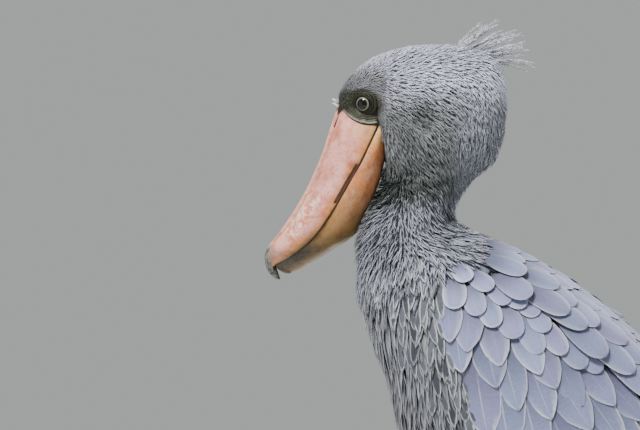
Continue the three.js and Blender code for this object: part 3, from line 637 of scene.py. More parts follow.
# The tiers of the folded wing: count, first and last root as station and angle, lengths, widths, heights at
# root and tip, rise from feather to feather, outline, paleness of edge and of quill, tone
WING_TIERS = {
    "primaries": (8, (6.2, 97), (8.8, 58), (270, 300), (36, 40), (-6.5, -4.5), 0.9, LONG, 0.3, 0.2, 0.78),
    "secondaries": (9, (4.0, 100), (7.4, 56), (150, 205), (50, 56), (-5.5, -0.6), 0.2, LONG, 0.6, 0.4, 0.88),
    "greater": (8, (2.9, 100), (6.2, 54), (112, 150), (54, 60), (-5, 0.6), 0.1, POINTED, 0.8, 0.45, 1.0),
    "median": (8, (2.1, 97), (5.2, 55), (82, 112), (42, 48), (-4.6, 1.4), 0.1, POINTED, 0.75, 0.3, 1.02),
    "lesser": (8, (1.6, 90), (4.3, 55), (64, 90), (36, 42), (-4.2, 2.2), 0.1, POINTED, 0.6, 0.12, 1.05),
    "marginal": (8, (1.25, 80), (3.4, 56), (48, 68), (30, 34), (-4, 2.8), 0.1, ROUND, 0.4, 0.06, 1.08),
    "bend": (6, (1.05, 70), (2.4, 58), (38, 50), (26, 30), (-3.6, 3), 0.1, ROUND, 0.35, 0.05, 1.15),
    "tertials": (7, (5.2, 44), (7.4, 14), (190, 235), (50, 56), (-2, 2), 0.4, LONG, 0.35, 0.15, 0.84),
    "scapulars 1": (10, (1.5, 55), (5.6, 34), (70, 125), (36, 44), (-1.6, 11), 0.05, ROUND, 0.4, 0.06, 1.0),
    "scapulars 2": (11, (1.2, 47), (5.4, 25), (60, 118), (34, 42), (-0.6, 9.5), 0.05, ROUND, 0.35, 0.05, 1.0),
    "scapulars 3": (12, (1.1, 38), (5.6, 17), (54, 116), (32, 40), (0, 6.2), 0.05, POINTED, 0.3, 0.05, 0.92),
    "mantle": (15, (0.8, 26), (5.8, 6), (48, 104), (30, 38), (0.4, 6.2), 0.05, POINTED, 0.25, 0.04, 0.86),
}
VANE_COLUMNS = np.array([-1, -0.95, -0.88, -0.5, -0.05, 0, 0.05, 0.5, 0.88, 0.95, 1.0])
WING_TINTS = np.array([[0.162, 0.205, 0.325], [0.2, 0.193, 0.345]])
LONG_FEATHER = 140
FLIGHT_ROWS, COVERT_ROWS = 14, 11
ROOT_DEPTH = 5.0


def surface_vanes(station, angle, side, long, wide, lift_root, lift_tip, shape, roll, rows, columns):
    """Vanes that follow the plumage's surface from their roots along its lie"""
    f = 1 - (1 - np.linspace(0, 1, rows)) ** 1.5
    side_array = np.full(len(station), side)
    top, normals = [], []
    halves = wide[:, None] / 2 * leaf(f, shape)[None]
    twist = draw.normal(0, 0.1, len(station))[:, None]

    def heading(place):
        """The surface's normal at a place and the way a vane runs there"""
        n = surface_frame(*place, side_array)[2]
        forward = lie(*place, side_array)
        return n, unit(forward + np.cross(n, forward) * twist)

    place = (station, angle)
    for k in range(rows):
        n, forward = heading(place)
        across = unit(np.cross(n, forward))
        lift = lift_root + (lift_tip - lift_root) * f[k] - ROOT_DEPTH * (1 - ease(f[k], 0, 0.14))
        row, row_normals = [], []
        for e in columns:
            spot, m = plumage(*place, side_array), n
            if e:
                beside = step_on(*place, side_array, across * np.sign(e), np.abs(e) * halves[:, k])
                spot, m = plumage(*beside, side_array), surface_frame(*beside, side_array)[2]
            camber = (1 - e * e) * halves[:, k] * 0.09
            tilt = -e * halves[:, k] * roll * side
            row.append(spot + m * (lift + camber + tilt)[:, None])
            row_normals.append(m)
        top.append(np.stack(row, 1))
        normals.append(np.stack(row_normals, 1))
        if k < rows - 1:
            for _ in range(2):
                place = step_on(*place, side_array, heading(place)[1], (f[k + 1] - f[k]) * long / 2)
    return np.stack(top, 1), np.stack(normals, 1), f, halves


def wing_tier(side, count, first, last, long, wide, lift, stack, shape, edge, quill, tone):
    f = np.linspace(0, 1, count)
    rank = np.arange(count)
    station = first[0] + (last[0] - first[0]) * f + draw.normal(0, 0.04, count)
    angle = np.radians(first[1] + (last[1] - first[1]) * f + draw.normal(0, 1.2, count))
    long = np.interp(f, [0, 1], long) * (1 + draw.normal(0, 0.07, count))
    wide = np.interp(f, [0, 1], wide) * (1 + draw.normal(0, 0.04, count))
    lift_root = lift[0] + rank * stack * 0.5
    lift_tip = lift[1] + rank * stack + draw.normal(0, 0.25, count)
    rows = FLIGHT_ROWS if long.mean() > LONG_FEATHER else COVERT_ROWS
    top, normals, rows_f, halves = surface_vanes(
        station, angle, side, long, wide, lift_root, lift_tip, shape, 0.05, rows, VANE_COLUMNS)
    tint = mixed(0.5 + 0.5 * draw.uniform(-0.55, 0.55, count), *WING_TINTS)
    tint = tint * tone * 1.08 * (1 + draw.normal(0, 0.1, (count, 1)))
    fringe_amount = np.clip(edge * (1 + draw.normal(0, 0.3, count)), 0, 1)
    data = vane_values(count, rows_f, VANE_COLUMNS, halves, long, tint, fringe_amount, quill, 0.4,
                       (0.15, 0.9))
    return top, normals, data, face_uv[nearest(top[:, 0, 3])[1]]


def joined_tiers(name, tiers, replaces=()):
    """One piece from several tiers that share a row count"""
    top, normals, root_uv = (np.concatenate([tier[i] for tier in tiers]) for i in (0, 1, 3))
    data = {key: np.concatenate([tier[2][key] for tier in tiers]) for key in tiers[0][2]}
    piece = feather_mesh(name, top, normals, 0.7, data, root_uv, wing_vane)
    if replaces:
        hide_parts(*replaces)


for side_name, side in SIDES.items():
    made = [wing_tier(side, *tier) for tier in WING_TIERS.values()]
    flight = [tier for tier in made if tier[0].shape[1] == FLIGHT_ROWS]
    coverts = [tier for tier in made if tier[0].shape[1] == COVERT_ROWS]
    joined_tiers(f"flight_feathers_{side_name}", flight, (f"wing_{side_name}",))
    joined_tiers(f"coverts_{side_name}", coverts)


# How the coat of the head and neck points in the side view: place x z, direction x z
CURRENTS = np.array([
    [-215, 1100, 0.6, 0.8], [-190, 1135, 0.8, 0.6], [-130, 1147, 1, 0.05], [-60, 1143, 1, -0.1],
    [-28, 1110, 0.4, -0.9], [-25, 1060, 0, -1], [-45, 1000, -0.3, -0.95], [-80, 940, 0.1, -1],
    [-160, 1080, 0.9, -0.45], [-150, 1020, 0.55, -0.83], [-110, 1060, 0.8, -0.6], [-160, 980, 0.5, -0.86],
    [-120, 975, 0.6, -0.8], [-180, 930, -0.05, -1], [-130, 930, 0.1, -1], [-100, 900, 0.5, -0.86],
    [-190, 880, 0, -1], [-200, 1060, 0.5, -0.6],
], float)
MOUTH_CORNER = np.array([-177.5, 0.0, 1041.0])
BILL_SLOPE = math.radians(66)
BILL_AXIS = np.array([-math.cos(BILL_SLOPE), 0.0, -math.sin(BILL_SLOPE)])
BILL_UP = np.array([-math.sin(BILL_SLOPE), 0.0, math.cos(BILL_SLOPE)])

skin_mesh.calc_loop_triangles()
triangles = np.array([tuple(triangle.vertices) for triangle in skin_mesh.loop_triangles])
skin_points, skin_normals = vertex_arrays(skin_mesh)
skin_points = outline_frame(skin_points)
face_normals = np.array([np.mean([skin_normals[v] for v in face], axis=0) for face in faces])


def flow(p):
    """The way the coat points at places on the skin, before it is laid along the surface"""
    away = np.sum((p[:, None, [0, 2]] - CURRENTS[None, :, :2]) ** 2, -1)
    weight = 1 / (away + 150) ** 1.6
    flat = (weight[..., None] * unit(CURRENTS[:, 2:])[None]).sum(1) / weight.sum(1)[:, None]
    upper = np.stack([flat[:, 0], 0 * flat[:, 0], flat[:, 1]], -1)
    station, angle = body_place(p)
    lower = lie(np.clip(station, 0.1, 13.5), np.clip(angle, 0.1, 3.0), np.where(p[:, 1] < 0, -1, 1))
    low_leg = ease(-p[:, 2], -500, -470) * (p[:, 0] < 110)
    return unit(mixed(low_leg, mixed(ease(on_neck(p), -45, 10), lower, upper), (0.12, 0, -1)))


NEIGHBOURS = [(i, j, k) for i in (-1, 0, 1) for j in (-1, 0, 1) for k in (-1, 0, 1)]


def scatter(keep, spacing, tries=6):
    """Random roots on the skin, no two nearer than the spacing"""
    corners3 = skin_points[triangles]
    wanted = keep(corners3.mean(1))
    corners3 = corners3[wanted]
    edges = corners3[:, 1:] - corners3[:, :1]
    area = np.linalg.norm(np.cross(edges[:, 0], edges[:, 1]), axis=1) / 2
    amount = int(tries * area.sum() / spacing ** 2)
    pick = draw.choice(len(area), amount, p=area / area.sum())
    a, b = draw.random(amount), draw.random(amount)
    flip = a + b > 1
    a, b = np.where(flip, 1 - a, a), np.where(flip, 1 - b, b)
    c = corners3[pick]
    points = c[:, 0] + (c[:, 1] - c[:, 0]) * a[:, None] + (c[:, 2] - c[:, 0]) * b[:, None]
    cells, chosen = {}, []
    limit = spacing ** 2

    def crowded(i, j, k, x, y, z):
        for di, dj, dk in NEIGHBOURS:
            for other in cells.get((i + di, j + dj, k + dk), ()):
                if (other[0] - x) ** 2 + (other[1] - y) ** 2 + (other[2] - z) ** 2 < limit:
                    return True
        return False

    keys = np.floor(points / spacing).astype(int)
    for index, (key, point) in enumerate(zip(map(tuple, keys), points.tolist())):
        if not crowded(*key, *point):
            cells.setdefault(key, []).append(point)
            chosen.append(index)
    return points[chosen]


def along_skin(p, n, direction, distance):
    """A step along the skin: the new place, its smoothed normal and its face"""
    heading = direction - n * dot(direction, n)[:, None]
    q, face = nearest(p + unit(heading) * distance[:, None])
    return q, unit(n * 0.4 + unit(face_normals[face]) * 0.6), face


def tufts(name, roots, long, wide, lift, tint, fringe_amount, rows, shape, columns, material, slot,
          thickness=0.25, sway=0.16, curl=0.0, root_shade=0.55, per_piece=6000, ruffle=0.0):
    """Small vanes rooted on the skin that follow its surface and rise to the coat's outer edge"""
    f = np.linspace(0, 1, rows)
    e = np.array(columns, float)
    lift, fringe_amount = (np.broadcast_to(values, len(roots)) for values in (lift, fringe_amount))
    for start in range(0, len(roots), per_piece):
        part = slice(start, start + per_piece)
        p, face = nearest(roots[part])
        n = unit(face_normals[face])
        root_uv = face_uv[face]
        count = len(p)
        turn = draw.normal(0, sway, count)
        bend = draw.normal(0, sway * 0.8, count)
        rise = lift[part] * (1 + draw.normal(0, 0.18, count))
        half = wide[part][:, None] / 2 * leaf(f, shape)[None]
        roll = (ruffle * turn)[:, None]
        tops, normals = [], []
        for k in range(rows):
            heading = flow(p)
            heading = heading - n * dot(heading, n)[:, None]
            heading = unit(heading + np.cross(n, heading) * (turn + bend * f[k])[:, None])
            across = unit(np.cross(n, heading))
            height = 0.15 + rise * ease(f[k], -0.1, 1.0) + curl * f[k] ** 3
            if slot == "plumage":
                height = height * (1 - 0.85 * under_wing(p))
            reach = e * half[:, k:k + 1]
            camber = (1 - e ** 2) * half[:, k:k + 1] * 0.22
            height = height[:, None] + camber + reach * roll
            tops.append(p[:, None] + across[:, None] * reach[..., None] + n[:, None] * height[..., None])
            normals.append(np.repeat(n[:, None], len(e), 1))
            if k < rows - 1:
                p, n, face = along_skin(p, n, heading, long[part] * (f[k + 1] - f[k]))
        data = vane_values(count, f, e, half, long[part], tint[part], fringe_amount[part], 0.0, root_shade,
                           fringe_width=1.15)
        suffix = "" if len(roots) <= per_piece else f"_{start // per_piece + 1}"
        feather_mesh(name + suffix, np.stack(tops, 1), np.stack(normals, 1), thickness, data, root_uv,
                     material)


def bill_place(p):
    """How far points lie along the bill's axis and above it"""
    away = p - MOUTH_CORNER
    return dot(away, BILL_AXIS), dot(away, BILL_UP)


def eye_distance(p):
    centre = EYE[RIGHT] * np.where(p[:, 1:2] < 0, (1, -1, 1), (1, 1, 1))
    return np.linalg.norm((p - centre) * np.array([1.0, 0.8, 1.0]), axis=1)


def clear_of_bill(p):
    """True before the bill's base, under its lower edge and beside it"""
    along, above = bill_place(p)
    outside = np.abs(p[:, 1]) > np.interp(along, [-22, 0, 26, 54], [41, 44, 46.5, 49]) + 0.5
    lower_edge = np.interp(along, [0, 26, 54, 130], [-17, -25, -31, -31])
    return (along < 1.0) | (above < lower_edge) | (outside & (above < 3))


def face_share(p):
    """One on the bare-looking small feathers before the cheek, nothing behind it"""
    return (1 - ease(p[:, 0], -176, -166)) * ease(p[:, 2], 1020, 1035)


# Shaded hollows in the coat: place x z, radius, how much of the tone stays
HOLLOWS = [
    (-131, 1063, 17, 0.42), (-143, 1030, 15, 0.6), (-94, 939, 12, 0.3), (-112, 930, 20, 0.7),
    (-160, 1046, 24, 0.62), (-160, 882, 12, 0.5), (-147, 862, 14, 0.5), (-168, 1000, 16, 0.7),
    (-105, 905, 14, 0.6),
]


def hollows(p):
    tone = np.ones(len(p))
    for x, z, radius, share in HOLLOWS:
        away = np.hypot(p[:, 0] - x, p[:, 2] - z)
        tone *= share + (1 - share) * ease(away, 0.25 * radius, 1.25 * radius)
    return tone[:, None]


def head_tint(p):
    x, z = p[:, 0], p[:, 2]
    # Painted light and shade: the crown paler, partly its own tone and partly painted light from above; the
    # jowl darker as painted shade under the head; painted shade round the eye; the hollows add painted shade
    tint = painted(np.array([0.23, 0.245, 0.255]), {
        "pale_crown_and_painted_light": (ease(z, 1055, 1110), (0.58, 0.6, 0.72)),
        "jowl_painted_shade": ((1 - ease(z, 962, 1035)) * (1 - ease(x, -100, -66)), (0.055, 0.068, 0.062)),
        "nape": (0.8 * ease(x, -110, -60) * (1 - ease(z, 1060, 1100)) * ease(z, 940, 990),
                 (0.34, 0.355, 0.42)),
        "face": (face_share(p) * (1 - ease(z, 1095, 1125)), (0.19, 0.195, 0.21)),
        "round the eye": (1 - ease(eye_gap(p), 0.85, 1.35), (0.035, 0.036, 0.022)),
    })
    return slate_tint(p, 1.0) * tint * hollows(p)


def jitter(tint, amount):
    """Tints made uneven from feather to feather"""
    return np.clip(tint * (1 + draw.normal(0, amount, (len(tint), 1))), 0.004, 0.9)


DOWN = dict(shape=HAIR, columns=(-1, 0, 1), material=down_vane, slot="head_plumage")


def make_head_coat():
    def face(p):
        return (on_head(p) > -6) & clear_of_bill(p) & (eye_distance(p) > 17) & (face_share(p) > 0.2)

    roots = scatter(face, 1.7)
    near = ease(eye_distance(roots), 18, 40)
    long = 4.5 + 4.5 * near + draw.normal(0, 0.6, len(roots))
    tufts("face_down", roots, long, 1.0 + 0.5 * near, 1.0 + 2.0 * near, jitter(head_tint(roots), 0.1), 0.0, 4,
          root_shade=0.8, **DOWN)

    def rest(p):
        return (on_head(p) > -8) & clear_of_bill(p) & (face_share(p) < 0.6) & (eye_distance(p) > 17)

    roots = scatter(rest, 2.2)
    cheek = ease(roots[:, 0], -172, -120) * (1 - ease(roots[:, 2], 1085, 1120))
    long = 12 + 6 * cheek + draw.normal(0, 1.6, len(roots))
    throat = ease(-roots[:, 0], 135, 160) * (1 - ease(roots[:, 2], 985, 1012))
    tufts("head_down", roots, long, 1.45 + 0.6 * cheek, 3.8 + 2.4 * cheek + 9 * throat,
          jitter(head_tint(roots), 0.13), 0.0, 5, sway=0.24, ruffle=1.2, root_shade=0.78, **DOWN)


def neck_tint(p):
    # Painted shade: the neck darker just under the front of the head, in the jowl's shadow
    high = ease(on_head(p), -25, 10) * (1 - ease(p[:, 0], -100, -66))
    return slate_tint(p, 1.0) * mixed(high, (0.25, 0.265, 0.325), (0.07, 0.083, 0.08)) * hollows(p)


def make_neck_coat():
    def neck(p):
        return (on_head(p) < 4) & (on_neck(p) > -40) & (p[:, 2] > 795)

    roots = scatter(neck, 3.0)
    count = len(roots)
    low = 1 - ease(on_neck(roots), -30, 30)
    long = 19 + 9 * low + draw.normal(0, 2.5, count)
    front = ease(-roots[:, 0], 140, 165) * ease(roots[:, 2], 880, 925)
    tufts("neck_down", roots, long, 2.0 + 1.4 * low, 6.5 + 1.5 * low + 8 * front,
          jitter(neck_tint(roots), 0.15), np.clip(draw.normal(0.08, 0.1, count), 0, 0.4), 6,
          sway=0.2, ruffle=0.8, root_shade=0.82, **DOWN)


PLUMAGE_END = 372


def turned(p):
    """The station and the angle from the back in degrees"""
    station, angle = body_place(p)
    return station, np.degrees(angle)


def under_wing(p):
    """One where the folded wing lies over the body's own feathers"""
    station, turn = turned(p)
    low = np.interp(station, *WING_LOW)
    inside = ease(turn, 11, 19) * ease(station, 0.85, 1.1) * (1 - ease(turn, low - 3, low + 7))
    return inside * (p[:, 2] > PLUMAGE_END)


def wing_cover(p):
    """True where the folded wing and the shoulder feathers hide the body"""
    station, turn = turned(p)
    return (station > 1.15) & (turn < np.interp(station, *WING_LOW) - 13) & (turn > 12) & (station < 12.5)


def underside_painted_shade(p):
    """Painted shade: the underside's tone falls off towards the belly, away from the light above"""
    return (0.6 + 0.4 * ease(p[:, 2], 680, 860))[:, None]


def plume_group(name, keep, spacing, long, wide, lift, shape, tint, fringe_amount, rows=8,
                columns=(-1, -0.55, 0, 0.55, 1), sway=0.12, curl=1.0, root_shade=0.5, tint_jitter=0.1,
                thickness=0.4):
    roots = scatter(keep, spacing)
    count = len(roots)
    spread_long = long(roots) * (1 + draw.normal(0, 0.09, count))
    spread_wide = wide(roots) * (1 + draw.normal(0, 0.08, count))
    amount = np.clip(draw.normal(fringe_amount, 0.12, count), 0, 1)
    # Painted shade from the hollows and from the darker underside
    tints = jitter(slate_tint(roots, tint) * hollows(roots) * underside_painted_shade(roots), tint_jitter)
    tufts(name, roots, spread_long, spread_wide, float(lift), tints, amount, rows, shape, columns, body_vane,
          "plumage", thickness, sway=sway, curl=curl, root_shade=root_shade, per_piece=1500, ruffle=0.8)


def below_neck(base, more, low, high):
    """A measure that grows with the distance below the neck"""
    return lambda p: base + more * ease(-on_neck(p), low, high)


def even(measure):
    return lambda p: np.full(len(p), measure)


def make_body_coat():
    def on_body(p):
        return (on_neck(p) < -4) & (p[:, 2] > PLUMAGE_END)

    def open_front(p):
        """The breast's and the flank's place: before the wing and above the belly"""
        return on_body(p) & ~wing_cover(p) & (turned(p)[0] < 5.5) & (p[:, 0] + 0.45 * (p[:, 2] - 560) < 55)

    def breast(p):
        return open_front(p) & (turned(p)[1] > 122)

    def flank(p):
        turn = turned(p)[1]
        return open_front(p) & (turn > 60) & (turn < 132)

    def shoulder(p):
        station, turn = turned(p)
        return on_body(p) & ~wing_cover(p) & (station < 2.2) & (turn < 66)

    def ridge(p):
        station, turn = turned(p)
        return on_body(p) & (station > 1.8) & (turn < 15)

    def under(p):
        station, turn = turned(p)
        return on_body(p) & ~wing_cover(p) & (turn > 62) & (station > 0.5) & ~breast(p)

    def thigh(p):
        return (p[:, 2] < 500) & (p[:, 0] < 110) & (np.abs(p[:, 1]) > 18)

    plume_group("breast_plumes", breast, 5.6, below_neck(34, 16, 15, 90), below_neck(4.2, 2.2, 15, 90), 7.5,
                LANCE, (0.155, 0.165, 0.19), 0.22, rows=7, columns=(-1, -0.4, 0.4, 1), sway=0.13,
                tint_jitter=0.25)
    plume_group("side_plumes", flank, 9.6, below_neck(40, 18, 15, 90), below_neck(9.0, 5.5, 15, 80), 7.2,
                POINTED, (0.075, 0.084, 0.104), 1.0, rows=9, columns=(-1, -0.82, -0.6, 0, 0.6, 0.82, 1),
                curl=1.2, sway=0.13, tint_jitter=0.3, thickness=0.5)
    plume_group("shoulder_feathers", shoulder, 8.0, below_neck(30, 14, 10, 60), below_neck(9, 9, 5, 40), 7.5,
                ROUND, (0.165, 0.18, 0.25), 0.4, columns=(-1, -0.85, -0.5, 0, 0.5, 0.85, 1), sway=0.2,
                tint_jitter=0.2)
    plume_group("back_feathers", ridge, 12.5, even(58.0), even(31.0), 10.5, POINTED, (0.16, 0.178, 0.275),
                0.22, columns=(-1, -0.9, -0.5, 0, 0.5, 0.9, 1), root_shade=0.35)
    plume_group("belly_down", under, 9.0, lambda p: 34 + 16 * ease(p[:, 0], 60, 250), even(10.0), 6.5, LANCE,
                (0.16, 0.17, 0.19), 0.4, rows=6, columns=(-1, 0, 1))
    plume_group("thigh_down", thigh, 6.5, even(27.0), even(7.0), 5.5, LANCE, (0.15, 0.16, 0.185), 0.25,
                rows=6, columns=(-1, 0, 1))


make_head_coat()
make_neck_coat()
make_body_coat()


def free_vanes(name, spine, across, half, columns, long, tint, fringe_amount, material,
               thickness=0.3, root_shade=0.8, cup=0.15, quill=0.0):
    """Vanes along free spines: spine is vanes x rows x 3, across the same, half is vanes x rows"""
    e = np.array(columns, float)
    ahead = unit(np.gradient(spine, axis=1))
    normal = unit(np.cross(ahead, across))
    flat = e[None, None, :, None]
    top = (spine[:, :, None] + across[:, :, None] * flat * half[:, :, None, None]
           + normal[:, :, None] * ((1 - flat ** 2) * cup) * half[:, :, None, None])
    normals = np.repeat(normal[:, :, None], len(e), 2)
    f = np.linspace(0, 1, spine.shape[1])
    data = vane_values(len(spine), f, e, half, long, tint, fringe_amount, quill, root_shade)
    root_uv = face_uv[nearest(spine[:, 0])[1]]
    return feather_mesh(name, top, normals, thickness, data, root_uv, material)


def loose_down(name, feathers, tint, unevenness, fringe_amount, thickness=0.3):
    """One piece of narrow loose feathers, each with its spine, side, half widths and length"""
    spines, sides, halves, longs = (np.array(values, float) for values in zip(*feathers))
    count = len(feathers)
    tints = jitter(np.tile(tint, (count, 1)), unevenness)
    return free_vanes(name, spines, sides, halves, (-1, 0, 1), longs, tints, np.full(count, fringe_amount),
                      down_vane, thickness=thickness)


CREST_ROOT = np.array([-52.0, 0.0, 1138.0])
PLUME_COUNT, PLUME_ROWS = 26, 11
BARB_COUNT, BARB_ROWS = 34, 4


def make_crest():
    g, h = np.linspace(0, 1, PLUME_ROWS), np.linspace(0, 1, BARB_ROWS)
    plumes, barbs = [], []
    for index in range(PLUME_COUNT):
        f = index / (PLUME_COUNT - 1)
        spread = math.sin(index * 2.4)
        root = CREST_ROOT + np.array([-32 + 46 * f, 12 * spread, -1 - 13 * f * f])
        lean = math.radians(54 - 50 * f + draw.normal(0, 5))
        ahead = unit(np.array([math.cos(lean), 0.26 * spread, math.sin(lean)]))
        across = unit(np.cross(ahead, np.array([0.5 * spread, 0.6, -0.7])))
        long = (36 + 26 * math.sin(math.pi * (0.25 + 0.6 * f))) * draw.uniform(0.82, 1.12)
        wave = draw.normal(0, 2.2)
        spine = (root - ahead * 9 + np.outer(g, ahead * (long + 9)) + np.outer(g ** 2, [0, 0, -10])
                 + np.outer(np.sin(g * 5 + index), across * wave * 0.5))
        half = 1.5 * leaf(g, ([0, 0.3, 0.7, 1], [1, 0.9, 0.5, 0.1]))
        plumes.append((spine, np.tile(across, (PLUME_ROWS, 1)), half, long))
        for step in range(BARB_COUNT):
            at = 0.12 + 0.84 * step / (BARB_COUNT - 1)
            hand = -1 if step % 2 else 1
            start = np.array([np.interp(at, g, spine[:, i]) for i in range(3)])
            reach = (15 - 7.0 * at) * draw.uniform(0.7, 1.2)
            way = unit(ahead * draw.uniform(1.3, 1.9) + across * hand * 0.3
                       + draw.normal(0, 0.13, 3) + np.array([0, 0, -0.25 * at]))
            barbs.append((start + np.outer(h, way * reach) + np.outer(h ** 2, [0, 0, -0.8]),
                          np.tile(unit(np.cross(way, draw.normal(0, 1, 3))), (BARB_ROWS, 1)),
                          0.5 * np.array([0.8, 1, 0.7, 0.15]), reach))
    quills = loose_down("crest_plumes", plumes, (0.46, 0.475, 0.54), 0.1, 0.25)
    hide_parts("crest")
    loose_down("crest_barbs", barbs, (0.5, 0.515, 0.58), 0.12, 0.2, thickness=0.2)


TAIL_ROOT = np.array([337.0, 0.0, 448.0])
TAIL_SLOPE = math.radians(56)
TAIL_AXIS = np.array([math.cos(TAIL_SLOPE), 0.0, -math.sin(TAIL_SLOPE)])
TAIL_UP = np.array([math.sin(TAIL_SLOPE), 0.0, math.cos(TAIL_SLOPE)])


# The tail's groups: count, length, width, spread in degrees, reach across, height over the tail's middle,
# outline, tint, paleness of the edge, upper or under side, start along the tail
TAIL_GROUPS = {
    "tail_feathers": (12, 205, 38, 9, 26, -4.0, LONG, (0.125, 0.135, 0.17), 0.35, 1, -12.0),
    "upper_tail_coverts": (9, 110, 30, 8, 30, 5.0, POINTED, (0.19, 0.205, 0.25), 0.45, 1, -60.0),
    "under_tail_coverts": (9, 120, 30, 7, 30, 16.0, POINTED, (0.22, 0.23, 0.255), 0.35, -1, -60.0),
    "vent_plumes": (7, 60, 30, 6, 30, 23.0, POINTED, (0.22, 0.23, 0.255), 0.3, -1, -70.0),
}
TAIL_COLUMNS = (-1, -0.85, -0.4, 0, 0.4, 0.85, 1)
# The flesh between them: distance along the tail, half width, half height
TAIL_BASE = np.array([
    [-70, 34, 24], [-60, 38, 25], [-20, 41, 21], [20, 40, 13], [60, 35, 7], [86, 24, 3],
], float)


def tail_fan(name, count, length, width, spread, out, lift, shape, tint, fringe_amount, face, start):
    f = np.linspace(-1, 1, count)
    g = np.linspace(0, 1, 13)
    long = length * (1 - 0.05 * f ** 2) * (1 + draw.normal(0, 0.012, count))
    along = start + (long - start)[:, None] * g[None]
    rank = np.abs(f) * (count - 1) / count
    up = face * (lift - rank[:, None] * 6.5 * (1 - 0.35 * g[None]))
    beside = f[:, None] * out + np.sin(np.radians(spread) * f)[:, None] * along
    spine = TAIL_ROOT + along[..., None] * TAIL_AXIS + up[..., None] * TAIL_UP + beside[..., None] * ACROSS
    roll = np.radians(5) * np.sign(f)[:, None] * face
    side = np.repeat(((ACROSS * np.cos(roll) - TAIL_UP * np.sin(roll)) * face)[:, None], len(g), 1)
    half = width / 2 * leaf(g, shape)[None] * np.ones((count, 1))
    tints = jitter(np.tile(tint, (count, 1)), 0.05)
    return free_vanes(name, spine, side, half, TAIL_COLUMNS, long, tints, np.full(count, fringe_amount),
                      wing_vane, 0.6, 0.6, 0.06, 0.1)


def make_tail():
    fans = [tail_fan(name, *group) for name, group in TAIL_GROUPS.items()]
    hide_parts("tail")
    middle = TAIL_ROOT + TAIL_BASE[:, :1] * TAIL_AXIS - 6 * TAIL_UP
    grid = rings(middle, ACROSS, TAIL_UP, TAIL_BASE[:, 1:2], TAIL_BASE[:, 2:], full_turn(32))
    # Painted shade: the flesh between the tail's groups is dark so that the gaps read as shadow
    stump = lofted("tail_base", grid, np.full(grid.shape, 0.07))
    uv = stump.data.uv_layers.new(name="OFBake")
    spot = face_uv[nearest(TAIL_ROOT[None])[1][0]]
    uv.data.foreach_set("uv", np.tile(spot, len(stump.data.loops)))
    finish_piece(stump, bed)


def make_forehead_tuft():
    """The few white feathers at the foot of the forehead"""
    roots = np.array([[-224.0 + 4 * i % 7, -9 + 3.2 * i, 1066.0 + (i * 5) % 9] for i in range(9)])
    p, face = nearest(roots)
    way = unit(unit(face_normals[face]) + draw.normal(0, 0.28, (len(p), 3)) + np.array([-0.15, 0, 0.4]))
    long = 11.0
    h = np.linspace(0, 1, 5)
    side = unit(np.cross(way, draw.normal(0, 1, (len(p), 3))))
    feathers = [(p[i] + np.outer(h * long, way[i]), np.tile(side[i], (5, 1)), 1.5 * leaf(h, HAIR), long)
                for i in range(len(p))]
    loose_down("forehead_tuft", feathers, (0.75, 0.76, 0.78), 0.05, 0.0)


make_crest()
make_tail()
make_forehead_tuft()


# The bill's sections: distance along its axis, culmen, mouth line, lower edge, half widths above and below
BILL = np.array([
    [-22, 57, 1, -10, 45, 41], [0, 56.8, 1.5, -15, 47, 44], [26, 54.5, 2, -22, 49, 46.5],
    [54, 51.3, 3, -28, 51.5, 49], [80, 50.5, 6, -30, 53.5, 50.5], [108, 51.1, 8.7, -28, 54.5, 51.5],
    [130, 53.2, 12, -28, 54, 50.5], [146, 55.5, 15, -21, 52.5, 48], [162, 58.5, 19.5, -9.5, 49, 44],
    [178, 62.3, 27, 1, 43, 37], [190, 65, 34, 9.5, 35, 29], [200, 64.5, 41, 16.5, 24, 20],
    [208, 61, 47, 25, 12, 11],
], float)
# The nail's sections: distance along the bill's axis, height, half width, half height
NAIL = np.array([
    [176, 57, 5, 3], [190, 60, 10, 5], [202, 58, 12.5, 7], [211, 53, 11, 6.5], [217, 46.5, 7.5, 5],
    [221, 40, 4, 3], [222.5, 35.5, 1.2, 0.8],
], float)
# The slot by the mouth: where it starts and ends along the bill
SLOT = (52.0, 108.0)
KEEL = 8
FULL_WIDTH = 45
GROOVE = 1.6
MOUTH_GAP = 0.04


def bill_point(u, y, v):
    """Points at distances along the bill's axis, across it and above it"""
    return MOUTH_CORNER + np.stack([u, y, v], -1) @ np.array([BILL_AXIS, ACROSS, BILL_UP])


def upper_half(row):
    """Half of a section of the upper bill from the culmen down to the mouth: half widths and heights"""
    _, culmen, mouth, _, upper, _ = row
    t = min(1, upper / FULL_WIDTH)
    keel = KEEL * t
    shoulder = culmen - (culmen - mouth) * 0.1
    start = keel + 4.5 * t
    y = [0, 0.35 * keel, 0.7 * keel, 0.88 * keel, keel, keel + 0.7 * t, keel + 2 * t, keel + 3.2 * t]
    v = [culmen, culmen - 0.2 * t, culmen - 0.6 * t, (culmen + shoulder) / 2, shoulder, shoulder - 1.5 * t,
         shoulder - 2.6 * t, shoulder - 2.5 * t]
    turn = np.radians(np.linspace(6, 90, 34))
    y += list(start + (upper - start) * np.sin(turn) ** 0.9)
    v += list(mouth + 5 * t + (shoulder - mouth - 5 * t) * np.cos(turn) ** 0.8)
    low = np.linspace(0, 1, 7)[1:]
    y += list(upper - 1.5 * t * low ** 1.5)
    v += list(mouth + 5 * t + (MOUTH_GAP - 5 * t) * low)
    return np.array(y), np.array(v)


def lower_half(row):
    """Half of a section of the lower bill from its keel up to the mouth"""
    _, _, mouth, low, _, lower = row
    top = mouth - MOUTH_GAP
    turn = np.radians(np.linspace(0, 86, 30))
    y = lower * np.sin(turn) ** 0.85
    v = top - 4 - (top - 4 - low) * np.cos(turn) ** 0.9
    y[0] = 0
    end = np.linspace(0, 1, 6)
    return np.concatenate([y, lower - 0.8 * end]), np.concatenate([v, top - 3 + 3 * end])


